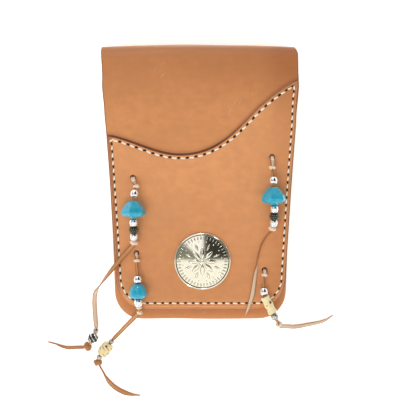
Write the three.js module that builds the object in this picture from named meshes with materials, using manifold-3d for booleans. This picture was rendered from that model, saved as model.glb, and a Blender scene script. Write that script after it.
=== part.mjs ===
// Beaded medicine bag: a leather pouch with a full-length flap, a curved overlay, a snap closure under a
// domed concho, a belt loop, and four beaded laces.
// Millimetres. The bag lies on its back: X runs across it, Y up it towards the fold, Z out of its front.
// The origin is under the middle of the bag, on the surface that it lies on.

import * as THREE from 'three';
import { mergeVertices } from 'three/addons/utils/BufferGeometryUtils.js';
import Module from 'manifold-3d';

const wasm = await Module();
wasm.setup();

// ---- Driving dimensions ----

const BAG_HALF_LENGTH = 91.4;
const TOP_HALF_WIDTH = 65;
const WAIST_HALF_WIDTH = 60;
const WAIST_Y = 5;
const SHOULDER_Y = 62.5;

const FLAP_LOW_HALF_WIDTH = 56;
const FLAP_BOTTOM_Y = -84.5;
const FLAP_CORNER = 14;
const POUCH_LOW_HALF_WIDTH = 57.6;
const POUCH_CORNER = 18.4;
const MOUTH_Y = 66;
const EDGE_STEP = 0.6;

const LEATHER = 2.2;
const PANEL_LEATHER = 2;
const OVERLAY_LEATHER = 1.9;
const GUSSET_LEATHER = 1.8;
const GLUE_LINE = 0.1;
const GAP = 0.3;

const BELT_GAP = 5;
const BACK_FACE_Z = LEATHER + BELT_GAP;
const BACK_INNER_Z = BACK_FACE_Z + LEATHER;
const FLAP_FACE_Z = 38.6;
const OVERLAY_FACE_Z = FLAP_FACE_Z + GLUE_LINE + OVERLAY_LEATHER;
const SNAP_ROOM = 3;
const PANEL_INSET = LEATHER + SNAP_ROOM;
const PANEL_FACE_Z = FLAP_FACE_Z - PANEL_INSET;
const PANEL_BACK_Z = PANEL_FACE_Z - PANEL_LEATHER;

// The fold in side view: a long soft crown at the front, then a front roll and a back roll up to the apex.
const FOLD_Z = 23;
const FRONT_ROLL = 10.3;
const BACK_ROLL = FOLD_Z - BACK_FACE_Z;
const CROWN_ANGLE = THREE.MathUtils.degToRad(12);
const CROWN_DROP = FLAP_FACE_Z - FOLD_Z - FRONT_ROLL * Math.cos(CROWN_ANGLE);
const CROWN_RADIUS = CROWN_DROP / (1 - Math.cos(CROWN_ANGLE));
const CROWN_END_Y = BAG_HALF_LENGTH - FRONT_ROLL * (1 - Math.sin(CROWN_ANGLE));
const CROWN_START_Y = CROWN_END_Y - CROWN_RADIUS * Math.sin(CROWN_ANGLE);
const HINGE_ANGLE = THREE.MathUtils.degToRad(135);

const CONCHO = { x: 2, y: -53.2, radius: 18.75, rim: 1.2, dome: 4.4, wall: 1.4, post: 2 };
const SNAP = { flange: 6, socket: 6.2, bore: 2.9, plate: 0.5, nub: 2.4, neck: 2.1, cap: 5, shank: 1.5 };
const LACE_HOLE = 1.9;
const LACE_RADIUS = 0.7;
const LACE_SIDES = 8;
const LACE_STEP = 3.2;
const LACE_START_Z = 36.9;
const STONE_TURN = Math.PI / 12;

const LOOP = { halfWidth: 22, low: -48, high: 60, pad: 10, ramp: 6 };

// Sizes that only have to reach past the bag, for the solids that cut it out.
const BEYOND = 100;
const CUT_TOP = 60;

// ---- Materials ----

const material = (color, roughness, metalness = 0) =>
  new THREE.MeshStandardMaterial({ color, roughness, metalness });
const saddleLeather = material(0xd3935f, 0.5);
const laceLeather = material(0xc98d58, 0.7);
const silver = material(0xdfe0e2, 0.15, 1);
const oxidisedSilver = material(0x4c4a46, 0.4, 1);
const turquoise = material(0x3fb1cf, 0.25);
const bone = material(0xe6d3a0, 0.5);
const nickel = material(0xc8c6bf, 0.2, 1);

// ---- Helpers ----

const bag = new THREE.Group();

// A manifold solid from a closed geometry.
function solid(geometry) {
  const bare = geometry.clone();
  bare.deleteAttribute('normal');
  bare.deleteAttribute('uv');
  const merged = mergeVertices(bare, 1e-4);
  return new wasm.Manifold(
    new wasm.Mesh({
      numProp: 3,
      vertProperties: new Float32Array(merged.attributes.position.array),
      triVerts: new Uint32Array(merged.index.array),
    })
  );
}

// The three.js geometry of a manifold solid.
function geometryOf(manifold) {
  const cut = manifold.getMesh();
  const geometry = new THREE.BufferGeometry();
  geometry.setAttribute('position', new THREE.BufferAttribute(new Float32Array(cut.vertProperties), 3));
  geometry.setIndex(new THREE.BufferAttribute(new Uint32Array(cut.triVerts), 1));
  geometry.computeVertexNormals();
  return geometry;
}

function add(name, geometry, finish) {
  const mesh = new THREE.Mesh(geometry, finish.clone());
  mesh.name = name;
  bag.add(mesh);
  return mesh;
}

// A front-view outline made solid between two heights.
function slab(outline, low, high) {
  const geometry = new THREE.ExtrudeGeometry(outline, {
    depth: high - low,
    bevelEnabled: false,
    curveSegments: 10,
  });
  geometry.translate(0, 0, low);
  return geometry;
}

// A side-view outline of (y, z) points made solid across the bag.
function sideSlab(points, halfWidth = BEYOND) {
  const outline = new THREE.Shape(points.map(([y, z]) => new THREE.Vector2(y, z)));
  const geometry = new THREE.ExtrudeGeometry(outline, { depth: 2 * halfWidth, bevelEnabled: false });
  const across = new THREE.Matrix4().makeBasis(
    new THREE.Vector3(0, 1, 0),
    new THREE.Vector3(0, 0, 1),
    new THREE.Vector3(1, 0, 0)
  );
  geometry.applyMatrix4(across);
  geometry.translate(-halfWidth, 0, 0);
  return geometry;
}

// A round piece turned about Z from (radius, z) points.
function turned(points, segments = 24) {
  const profile = points.map(([radius, z]) => new THREE.Vector2(radius, z));
  const geometry = new THREE.LatheGeometry(profile, segments);
  geometry.rotateX(Math.PI / 2);
  return geometry;
}

function cylinderAt(x, y, radius, low, high) {
  const geometry = new THREE.CylinderGeometry(radius, radius, high - low, 16);
  geometry.rotateX(Math.PI / 2);
  geometry.translate(x, y, (low + high) / 2);
  return geometry;
}

// ---- Outlines in front view ----

// The bag's tapered outline with round lower corners, drawn in by `inset` all round.
function taperedOutline({ lowHalf, bottom, corner, inset = 0, shift = 0 }) {
  const side = lowHalf - inset;
  const radius = corner - inset;
  const cornerY = bottom + corner;
  const shoulder = TOP_HALF_WIDTH - inset;
  const waist = WAIST_HALF_WIDTH + (lowHalf - FLAP_LOW_HALF_WIDTH) / 2 - inset;
  const outline = new THREE.Shape();
  outline.moveTo(shift - side + radius, bottom + inset);
  outline.lineTo(shift + side - radius, bottom + inset);
  outline.absarc(shift + side - radius, cornerY, radius, -Math.PI / 2, 0, false);
  outline.quadraticCurveTo(shift + waist, WAIST_Y, shift + shoulder, SHOULDER_Y);
  outline.lineTo(shift + shoulder, BEYOND);
  outline.lineTo(shift - shoulder, BEYOND);
  outline.lineTo(shift - shoulder, SHOULDER_Y);
  outline.quadraticCurveTo(shift - waist, WAIST_Y, shift - side, cornerY);
  outline.absarc(shift - side + radius, cornerY, radius, Math.PI, 1.5 * Math.PI, false);
  return outline;
}

const flapOutline = () =>
  taperedOutline({ lowHalf: FLAP_LOW_HALF_WIDTH, bottom: FLAP_BOTTOM_Y, corner: FLAP_CORNER });
const pouchOutline = (inset) =>
  taperedOutline({ lowHalf: POUCH_LOW_HALF_WIDTH, bottom: -BAG_HALF_LENGTH, corner: POUCH_CORNER, inset });

// All that lies below the overlay's S-shaped upper edge.
function belowWave() {
  const outline = new THREE.Shape();
  outline.moveTo(-BEYOND, -BEYOND);
  outline.lineTo(BEYOND, -BEYOND);
  outline.lineTo(BEYOND, 83);
  outline.lineTo(65.2, 66);
  outline.bezierCurveTo(57.2, 62, 47, 55.1, 38.7, 47);
  outline.bezierCurveTo(24.7, 33.3, 9, 16.7, -12.5, 16.7);
  outline.bezierCurveTo(-28, 16.7, -46, 26.4, -60.8, 30);
  outline.lineTo(-BEYOND, 40);
  return outline;
}

// All that lies below the pouch's straight mouth.
function belowMouth() {
  const outline = new THREE.Shape();
  outline.moveTo(-BEYOND, -BEYOND);
  outline.lineTo(BEYOND, -BEYOND);
  outline.lineTo(BEYOND, MOUTH_Y);
  outline.lineTo(-BEYOND, MOUTH_Y);
  return outline;
}

// ---- Faces in side view ----

// Points (y, z) along an arc, with the angle counted from straight out of the front towards the fold.
function arcPoints(centreY, centreZ, radius, from, to, steps) {
  return Array.from({ length: steps + 1 }, (_, i) => {
    const angle = from + ((to - from) * i) / steps;
    return [centreY + radius * Math.sin(angle), centreZ + radius * Math.cos(angle)];
  });
}

// The flat front and the crown over it, `inset` inside the flap's outer face.
function crownFace(inset) {
  const centreZ = FLAP_FACE_Z - CROWN_RADIUS;
  const arc = arcPoints(CROWN_START_Y, centreZ, CROWN_RADIUS - inset, 0, CROWN_ANGLE, 6);
  return [[-BEYOND, FLAP_FACE_Z - inset], ...arc];
}

function frontRollFace(inset) {
  const centreY = BAG_HALF_LENGTH - FRONT_ROLL;
  return arcPoints(centreY, FOLD_Z, FRONT_ROLL - inset, CROWN_ANGLE, Math.PI / 2, 7);
}

function backRollFace(inset, from, to) {
  const centreY = BAG_HALF_LENGTH - BACK_ROLL;
  return arcPoints(centreY, FOLD_Z, BACK_ROLL - inset, from, to, 4);
}

// The leather between two side faces that run the same way, cut to a front-view outline.
function leatherBetween(lower, upper, outline) {
  const band = solid(sideSlab([...lower, ...upper.slice().reverse()]));
  return band.intersect(solid(slab(outline, 0, CUT_TOP)));
}

const cutWith = (part, tools) => tools.reduce((left, tool) => left.subtract(tool), part);

// ---- The pouch ----

// The back panel and the flap are one hide, parted where the flap hinges on the back roll.
const PARTING = GAP / 2 / BACK_ROLL;

function addBackPanel() {
  const face = (inset, flatZ) => [
    [-BEYOND, flatZ],
    ...backRollFace(inset, Math.PI, HINGE_ANGLE + PARTING),
  ];
  const panel = leatherBetween(face(0, BACK_FACE_Z), face(LEATHER, BACK_INNER_Z), pouchOutline(0));
  add('back_panel', geometryOf(panel), saddleLeather);
}

function addFrontPanel() {
  const inner = crownFace(PANEL_INSET + PANEL_LEATHER);
  const panel = leatherBetween(inner, crownFace(PANEL_INSET), pouchOutline(EDGE_STEP));
  const shankHole = solid(cylinderAt(CONCHO.x, CONCHO.y, SNAP.shank + GAP, 0, CUT_TOP));
  const cut = panel.intersect(solid(slab(belowMouth(), 0, CUT_TOP))).subtract(shankHole);
  add('front_panel', geometryOf(cut), saddleLeather);
}

// The gusset runs down one side of the pouch, round the bottom and up the other.
function addGusset() {
  const front = crownFace(PANEL_INSET + PANEL_LEATHER + GAP);
  const back = [
    [-BEYOND, BACK_INNER_Z],
    [front.at(-1)[0], BACK_INNER_Z],
  ];
  const block = leatherBetween(back, front, pouchOutline(EDGE_STEP));
  const room = solid(slab(pouchOutline(EDGE_STEP + GUSSET_LEATHER), 0, CUT_TOP));
  const strip = block.intersect(solid(slab(belowMouth(), 0, CUT_TOP))).subtract(room);
  add('gusset', geometryOf(strip), saddleLeather);
}

// The loop stands off the back panel between two sewn pads.
function addBeltLoop() {
  const { halfWidth, low, high, pad, ramp } = LOOP;
  const outer = [
    [low, BELT_GAP],
    [low + pad - 1, BELT_GAP],
    [low + pad + ramp - 1, 0],
    [high - pad - ramp + 1, 0],
    [high - pad + 1, BELT_GAP],
    [high, BELT_GAP],
  ];
  const inner = [
    [low, BACK_FACE_Z],
    [low + pad, BACK_FACE_Z],
    [low + pad + ramp, LEATHER],
    [high - pad - ramp, LEATHER],
    [high - pad, BACK_FACE_Z],
    [high, BACK_FACE_Z],
  ];
  add('belt_loop', sideSlab([...outer, ...inner.reverse()], halfWidth), saddleLeather);
}

// ---- The flap ----

function addFlap(holes) {
  const face = (inset) => [
    ...crownFace(inset),
    ...frontRollFace(inset).slice(1),
    ...backRollFace(inset, Math.PI / 2, HINGE_ANGLE - PARTING).slice(1),
  ];
  const flap = leatherBetween(face(LEATHER), face(0), flapOutline());
  add('flap', geometryOf(cutWith(flap, holes)), saddleLeather);
}

// The overlay lies on the flap, a little inside its edge on the left and the bottom.
function addOverlay(holes) {
  const edge = taperedOutline({
    lowHalf: FLAP_LOW_HALF_WIDTH,
    bottom: FLAP_BOTTOM_Y,
    corner: FLAP_CORNER,
    inset: 0.7,
    shift: 0.4,
  });
  const sheet = leatherBetween(crownFace(-GLUE_LINE), crownFace(-GLUE_LINE - OVERLAY_LEATHER), edge);
  const overlay = sheet.intersect(solid(slab(belowWave(), 0, CUT_TOP)));
  add('overlay', geometryOf(cutWith(overlay, holes)), saddleLeather);
}

// ---- The closure ----

// Points of a dome from its edge to `reach` short of its axis.
function domePoints(edge, low, high, reach, steps) {
  return Array.from({ length: steps + 1 }, (_, i) => {
    const share = ((1 - reach / edge) * i) / steps;
    return [edge * (1 - share), low + (high - low) * Math.sin((share * Math.PI) / 2)];
  });
}

// A domed disc, hollow behind, with the post that holds the snap socket.
function addConcho() {
  const { x, y, radius, rim, dome, wall, post } = CONCHO;
  const seatZ = OVERLAY_FACE_Z + GLUE_LINE;
  const foot = LACE_START_Z - seatZ;
  const hollow = domePoints(radius - wall, 0.3, dome - wall, post, 4);
  const profile = [
    [0, foot],
    [post, foot],
    ...hollow.reverse(),
    [radius - wall, 0],
    [radius, 0],
    ...domePoints(radius, rim, dome, 0, 5),
  ];
  add('concho', turned(profile, 36), silver).position.set(x, y, seatZ);
}

function addSnap() {
  const { flange, socket, bore, plate, nub, neck, cap, shank } = SNAP;
  const socketTop = PANEL_FACE_Z + SNAP_ROOM;
  const socketFoot = PANEL_FACE_Z + 0.8;
  const nubTop = socketTop - plate - GAP;
  const pieces = {
    snap_socket: [
      [0, socketTop - plate],
      [bore, socketTop - plate],
      [bore, socketFoot],
      [socket - 0.4, socketFoot],
      [socket, socketFoot + 0.4],
      [socket, socketTop],
      [0, socketTop],
    ],
    snap_stud: [
      [0, PANEL_FACE_Z],
      [flange, PANEL_FACE_Z],
      [flange - 0.2, PANEL_FACE_Z + 0.5],
      [neck, PANEL_FACE_Z + 0.5],
      [neck, nubTop - 1],
      [nub, nubTop - 0.6],
      [nub - 0.4, nubTop],
      [0, nubTop],
    ],
    stud_rivet: [
      [0, PANEL_BACK_Z - 0.7],
      [cap - 0.4, PANEL_BACK_Z - 0.7],
      [cap, PANEL_BACK_Z - 0.3],
      [cap, PANEL_BACK_Z],
      [shank, PANEL_BACK_Z],
      [shank, PANEL_FACE_Z - GAP],
      [0, PANEL_FACE_Z - GAP],
    ],
  };
  for (const [name, profile] of Object.entries(pieces)) {
    add(name, turned(profile), nickel).position.set(CONCHO.x, CONCHO.y, 0);
  }
}

// ---- Beads: (radius, distance) profiles from the upper end, with a bore for the lace ----

function beadProfile(outside, length, bore) {
  return [[bore, 0], ...outside, [bore, length], [bore, 0]];
}

// A ball or barrel of the given belly, cut off where the bore comes out.
function roundBead(belly, end, length, bore = 1.4) {
  const outside = Array.from({ length: 6 }, (_, i) => {
    const angle = (Math.PI * i) / 5;
    return [end + (belly - end) * Math.sin(angle), (length * (1 - Math.cos(angle))) / 2];
  });
  return { profile: beadProfile(outside, length, bore), length, segments: 12 };
}

// A stone carved wide towards its foot, with `shoulder` the share of its length that lies above the belly.
function carvedStone(belly, top, foot, length, shoulder) {
  const outside = [
    [top - 0.5, 0],
    [top, 0.4],
    [belly * 0.82, length * shoulder * 0.55],
    [belly, length * shoulder],
    [belly * 0.93, length * (shoulder + 0.1)],
    [foot, length],
  ];
  return { profile: beadProfile(outside, length, 1.4), length };
}

const BEADS = {
  silver: { ...roundBead(2.75, 1.6, 4.7), finish: silver },
  smallSilver: { ...roundBead(1.85, 1.35, 2.9, 1.15), finish: silver },
  midSilver: { ...roundBead(2.45, 1.6, 4.2), finish: silver },
  oxidised: { ...roundBead(3, 1.7, 4.1), finish: oxidisedSilver },
  patterned: { ...roundBead(3.4, 1.8, 5.8), finish: oxidisedSilver },
  largeStone: { ...carvedStone(8.4, 3.4, 2.3, 11.4, 0.68), segments: 6, finish: turquoise },
  midStone: { ...carvedStone(8.2, 3.4, 2.3, 11.4, 0.68), segments: 6, finish: turquoise },
  smallStone: { ...carvedStone(5.9, 2.4, 2.6, 9.3, 0.8), segments: 12, finish: turquoise },
  boneBarrel: { ...roundBead(4.1, 2.7, 9.8), finish: bone },
  boneTube: { ...roundBead(3, 2.7, 12.4), finish: bone },
};

// ---- Laces ----

// Each route runs from inside its hole to the cut tip. A bead sits between route point `at` and the next.
const TASSELS = [
  {
    place: 'upper_left',
    route: [
      [-43.7, 1.8, LACE_START_Z],
      [-43.7, 1.8, 39.8],
      [-43.4, 0.6, 42.6],
      [-42.6, -1.7, 44.6],
      [-42, -4.2, 46],
      [-42.1, -6.4, 47],
      [-42.4, -11.5, 48.6],
      [-42.7, -13.4, 49],
      [-42.8, -25.1, 49.3],
      [-42.8, -25.5, 49.2],
      [-42.7, -30.1, 48.2],
      [-42.7, -30.4, 48.1],
      [-42.7, -34.4, 46.9],
      [-42.7, -34.8, 46.8],
      [-42.6, -39.2, 45.2],
      [-43, -42, 43.9],
      [-46, -45.3, 42.2],
      [-50.7, -50.6, 41.6],
      [-55.3, -56, 41.5],
      [-58.9, -60.5, 40.4],
      [-62, -64.2, 36.2],
      [-64.7, -67.4, 30.2],
      [-67, -70.1, 23.6],
      [-69.1, -72.6, 16.6],
      [-71, -75.2, 9.8],
      [-72.3, -78.4, 4.4],
      [-72.8, -82.8, 1.8],
      [-72.6, -89, 1.2],
      [-72.1, -95.4, 1.4],
      [-71.6, -101.2, 2.2],
      [-72, -104.2, 3],
      [-72.4, -105.2, 3.4],
      [-75, -110.4, 3.5],
      [-76, -112.4, 3.1],
      [-77.6, -114, 2.7],
      [-80.6, -114.3, 1.8],
      [-85.7, -114.5, 1.2],
      [-91, -114.7, 1.2],
      [-95.4, -113.7, 1.2],
      [-99.8, -112, 1.2],
      [-105.2, -110.7, 1.2],
    ],
    beads: [
      { name: 'silver_bead_1', kind: 'silver', at: 5 },
      { name: 'turquoise_bead', kind: 'largeStone', at: 7 },
      { name: 'silver_bead_2', kind: 'silver', at: 9 },
      { name: 'oxidised_bead', kind: 'oxidised', at: 11 },
      { name: 'silver_bead_3', kind: 'silver', at: 13 },
      { name: 'small_silver_bead', kind: 'smallSilver', at: 29 },
      { name: 'patterned_bead', kind: 'patterned', at: 31 },
    ],
  },
  {
    place: 'lower_left',
    route: [
      [-41.4, -47.7, LACE_START_Z],
      [-41.4, -47.7, 39.8],
      [-41.4, -49, 42.4],
      [-41.3, -51, 43.8],
      [-41.2, -53.4, 44.4],
      [-40.9, -57, 45],
      [-40.6, -60.2, 45.6],
      [-40.3, -62.5, 46],
      [-40.1, -67.3, 46.7],
      [-40, -67.8, 46.8],
      [-39.9, -77.2, 46.8],
      [-39.9, -77.6, 46.7],
      [-39.7, -82.2, 45.4],
      [-39.5, -84.8, 44.3],
      [-40.4, -87.4, 42.2],
      [-42.8, -90.2, 38.4],
      [-45.6, -93.2, 33],
      [-48.3, -96.1, 26.8],
      [-51, -99, 20.4],
      [-53.5, -101.8, 14.4],
      [-55.9, -104.4, 9.4],
      [-58.1, -106.8, 5.8],
      [-60, -108.9, 3.9],
      [-61.9, -111.3, 4.1],
      [-62.2, -111.7, 4.2],
      [-68.3, -119.5, 4.2],
      [-68.5, -119.8, 4.1],
      [-70, -122.3, 3.5],
      [-70.4, -124.9, 2.8],
      [-69, -127.4, 2],
      [-66.9, -131.4, 1.3],
      [-64.6, -135.6, 1.2],
      [-61.4, -139.7, 1.2],
      [-57.6, -142.8, 1.2],
      [-53.1, -145.3, 1.2],
      [-47.8, -146.9, 1.2],
      [-41.3, -147.6, 1.2],
    ],
    beads: [
      { name: 'silver_bead_1', kind: 'silver', at: 7 },
      { name: 'turquoise_bead', kind: 'smallStone', at: 9 },
      { name: 'silver_bead_2', kind: 'silver', at: 11 },
      { name: 'small_silver_bead_1', kind: 'smallSilver', at: 22 },
      { name: 'bone_bead', kind: 'boneBarrel', at: 24 },
      { name: 'small_silver_bead_2', kind: 'smallSilver', at: 26 },
    ],
  },
  {
    place: 'upper_right',
    route: [
      [47.7, 15.5, LACE_START_Z],
      [47.7, 15.5, 39.8],
      [47.7, 14.2, 42.5],
      [47.7, 11.8, 44.4],
      [47.6, 8.8, 45.6],
      [47.6, 5.9, 46.4],
      [48, 2, 47.4],
      [48.1, -2.8, 48.4],
      [48.2, -4.7, 48.8],
      [48.4, -16.3, 49.1],
      [48.5, -16.7, 49],
      [48.7, -21.2, 48],
      [48.7, -21.6, 47.9],
      [48.6, -25.5, 46.8],
      [48.5, -25.9, 46.7],
      [48.2, -30.2, 45.2],
      [47.3, -33, 43.9],
      [44.9, -35.4, 42.6],
      [42.6, -38.7, 41.7],
      [40.6, -42.3, 41.5],
      [39.3, -46.2, 41.5],
      [38.4, -50, 41.5],
      [37.6, -56, 41.5],
      [36.5, -62.2, 41.5],
      [35.7, -68, 41.5],
      [34.8, -74.2, 41.5],
      [33, -80.6, 41.5],
      [31.4, -85.2, 41.3],
      [29.9, -89.2, 40.4],
    ],
    beads: [
      { name: 'silver_bead_1', kind: 'silver', at: 6 },
      { name: 'turquoise_bead', kind: 'midStone', at: 8 },
      { name: 'silver_bead_2', kind: 'silver', at: 10 },
      { name: 'oxidised_bead', kind: 'oxidised', at: 12 },
      { name: 'silver_bead_3', kind: 'silver', at: 14 },
    ],
  },
  {
    place: 'lower_right',
    route: [
      [42.8, -58.9, LACE_START_Z],
      [42.8, -58.9, 39.8],
      [42.7, -60.2, 42.4],
      [42.6, -62.3, 43.6],
      [42.4, -65.1, 43.9],
      [42, -68.2, 44],
      [41.8, -70.6, 44.2],
      [42.2, -75.2, 44.9],
      [42.4, -75.7, 45],
      [48.1, -87, 43.2],
      [48.3, -87.4, 43.1],
      [50.1, -91, 42.1],
      [51.6, -93.4, 40.3],
      [52.7, -95.3, 37.4],
      [53.9, -96.5, 33.2],
      [55.4, -97.2, 27.8],
      [57.2, -97.8, 21.8],
      [59.2, -98.5, 15.5],
      [61.6, -99.2, 9.5],
      [64.8, -99.8, 4.8],
      [69, -99.7, 2.2],
      [74.1, -98.8, 1.3],
      [79, -97.9, 1.2],
      [83.3, -96.9, 1.2],
      [87.4, -95.3, 1.2],
      [91.9, -92.2, 1.2],
    ],
    beads: [
      { name: 'silver_bead_1', kind: 'silver', at: 6 },
      { name: 'bone_bead', kind: 'boneTube', at: 8 },
      { name: 'silver_bead_2', kind: 'midSilver', at: 10 },
    ],
  },
];

function addLace({ place, route }) {
  const curve = new THREE.CatmullRomCurve3(route.map((point) => new THREE.Vector3(...point)));
  const section = new THREE.Shape(
    Array.from({ length: LACE_SIDES }, (_, i) => {
      const angle = (2 * Math.PI * i) / LACE_SIDES;
      return new THREE.Vector2(LACE_RADIUS * Math.cos(angle), LACE_RADIUS * Math.sin(angle));
    })
  );
  const steps = Math.round(curve.getLength() / LACE_STEP);
  add(`${place}_lace`, new THREE.ExtrudeGeometry(section, { steps, extrudePath: curve }), laceLeather);
}

// A bead turned along its own Y, then laid along the lace.
function addBead(place, route, { name, kind, at }) {
  const { profile, length, segments, finish } = BEADS[kind];
  const points = profile.map(([radius, distance]) => new THREE.Vector2(radius, distance - length / 2));
  const start = new THREE.Vector3(...route[at]);
  const end = new THREE.Vector3(...route[at + 1]);
  const along = end.clone().sub(start).normalize();
  const sideways = along.clone().cross(new THREE.Vector3(0, 0, 1)).normalize();
  const up = sideways.clone().cross(along);
  const geometry = new THREE.LatheGeometry(points, segments, STONE_TURN);
  const bead = add(`${place}_${name}`, geometry, finish);
  bead.quaternion.setFromRotationMatrix(new THREE.Matrix4().makeBasis(sideways, along, up));
  bead.position.copy(start.add(end).multiplyScalar(0.5));
}

// ---- Assembly ----

const holes = TASSELS.map(({ route: [[x, y]] }) => solid(cylinderAt(x, y, LACE_HOLE, 0, CUT_TOP)));
holes.push(solid(cylinderAt(CONCHO.x, CONCHO.y, CONCHO.post + GAP, 0, CUT_TOP)));

addBackPanel();
addGusset();
addFrontPanel();
addBeltLoop();
addFlap(holes);
addOverlay(holes);
addConcho();
addSnap();
for (const tassel of TASSELS) {
  addLace(tassel);
  for (const bead of tassel.beads) addBead(tassel.place, tassel.route, bead);
}

export default bag;
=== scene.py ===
"""Beaded medicine bag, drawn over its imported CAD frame.

Everything is in metres in the frame's own axes: X across the bag, Y up it towards the fold, Z out of its
front. Lengths in this file are millimetres, and are turned to metres where a mesh is made.
"""

import math
import random

import bpy
from mathutils import Matrix, Vector, noise
from mathutils.kdtree import KDTree


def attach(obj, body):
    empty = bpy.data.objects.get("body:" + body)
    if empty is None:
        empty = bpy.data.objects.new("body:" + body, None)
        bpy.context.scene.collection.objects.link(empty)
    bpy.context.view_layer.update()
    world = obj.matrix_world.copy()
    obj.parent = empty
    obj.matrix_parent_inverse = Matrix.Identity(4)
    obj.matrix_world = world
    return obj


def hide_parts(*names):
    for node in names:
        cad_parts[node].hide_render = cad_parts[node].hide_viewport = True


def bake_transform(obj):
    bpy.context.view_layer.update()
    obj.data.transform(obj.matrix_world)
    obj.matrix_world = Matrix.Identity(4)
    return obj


bl_info = {
    "name": "Beaded Medicine Bag",
    "version": (1, 0, 0),
    "blender": (4, 5, 0),
    "location": "3D View > Sidebar > Medicine Bag",
    "description": "Builds a leather medicine bag with a concho and four beaded laces",
    "category": "Object",
}

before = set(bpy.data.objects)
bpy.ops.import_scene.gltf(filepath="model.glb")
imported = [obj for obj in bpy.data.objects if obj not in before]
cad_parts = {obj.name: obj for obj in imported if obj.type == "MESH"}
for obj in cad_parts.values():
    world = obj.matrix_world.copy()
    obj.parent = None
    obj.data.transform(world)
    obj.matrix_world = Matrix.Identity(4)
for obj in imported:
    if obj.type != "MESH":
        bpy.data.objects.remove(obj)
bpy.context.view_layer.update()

MM = 0.001

# ---- The bag's dimensions, as in the CAD source ----

TOP_HALF = 65
SHOULDER_Y = 62.5
WAIST_Y = 5
MOUTH_Y = 66
FOLD_Y = 91.4
FOLD_Z = 23
FRONT_ROLL = 10.3
BACK_ROLL = 15.8
CROWN_TURN = math.radians(12)
BACK_Z = 7.2
FLAP_Z = 38.6
OVERLAY_Z = 40.6
PANEL_Z = 33.4
HIDE_THICK = 2.2
OVERLAY_THICK = 1.9
HOLE_RADIUS = 1.9
CROWN_RADIUS = (FLAP_Z - FOLD_Z - FRONT_ROLL * math.cos(CROWN_TURN)) / (1 - math.cos(CROWN_TURN))
CROWN_START = FOLD_Y - FRONT_ROLL * (1 - math.sin(CROWN_TURN)) - CROWN_RADIUS * math.sin(CROWN_TURN)

FLAP = {"low": 56, "waist": 60, "corner": 20, "bottom": -84.5, "inset": 0, "shift": 0}
POUCH = {"low": 57.6, "waist": 60.8, "corner": 18.4, "bottom": -91.4, "inset": 0, "shift": 0}
OVERLAY = {**FLAP, "bottom": -83.9, "inset": 1.0, "shift": 0.2}
SHELL = {**POUCH, "inset": 0.6}

# The overlay's S-shaped upper edge, as three curves from the right side to the left.
WAVE = [
    [(66, 66.8), (58, 62.6), (47, 55.1), (38.7, 47)],
    [(38.7, 47), (26, 34.5), (13, 16.5), (-12.5, 16.5)],
    [(-12.5, 16.5), (-29.5, 16.5), (-44, 26.6), (-60.8, 29.2)],
]

CONCHO = Vector((2, -53.2, 40.7))
CONCHO_RADIUS = 18.75

# How finely the leather is drawn: quads across the hide, across the overlay and up the overlay.
HIDE_COLUMNS = 110
OVERLAY_COLUMNS = 116
OVERLAY_ROWS = 112

# How far each stitch turns from the line of its seam.
STITCH_SLANT = math.radians(7)

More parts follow.
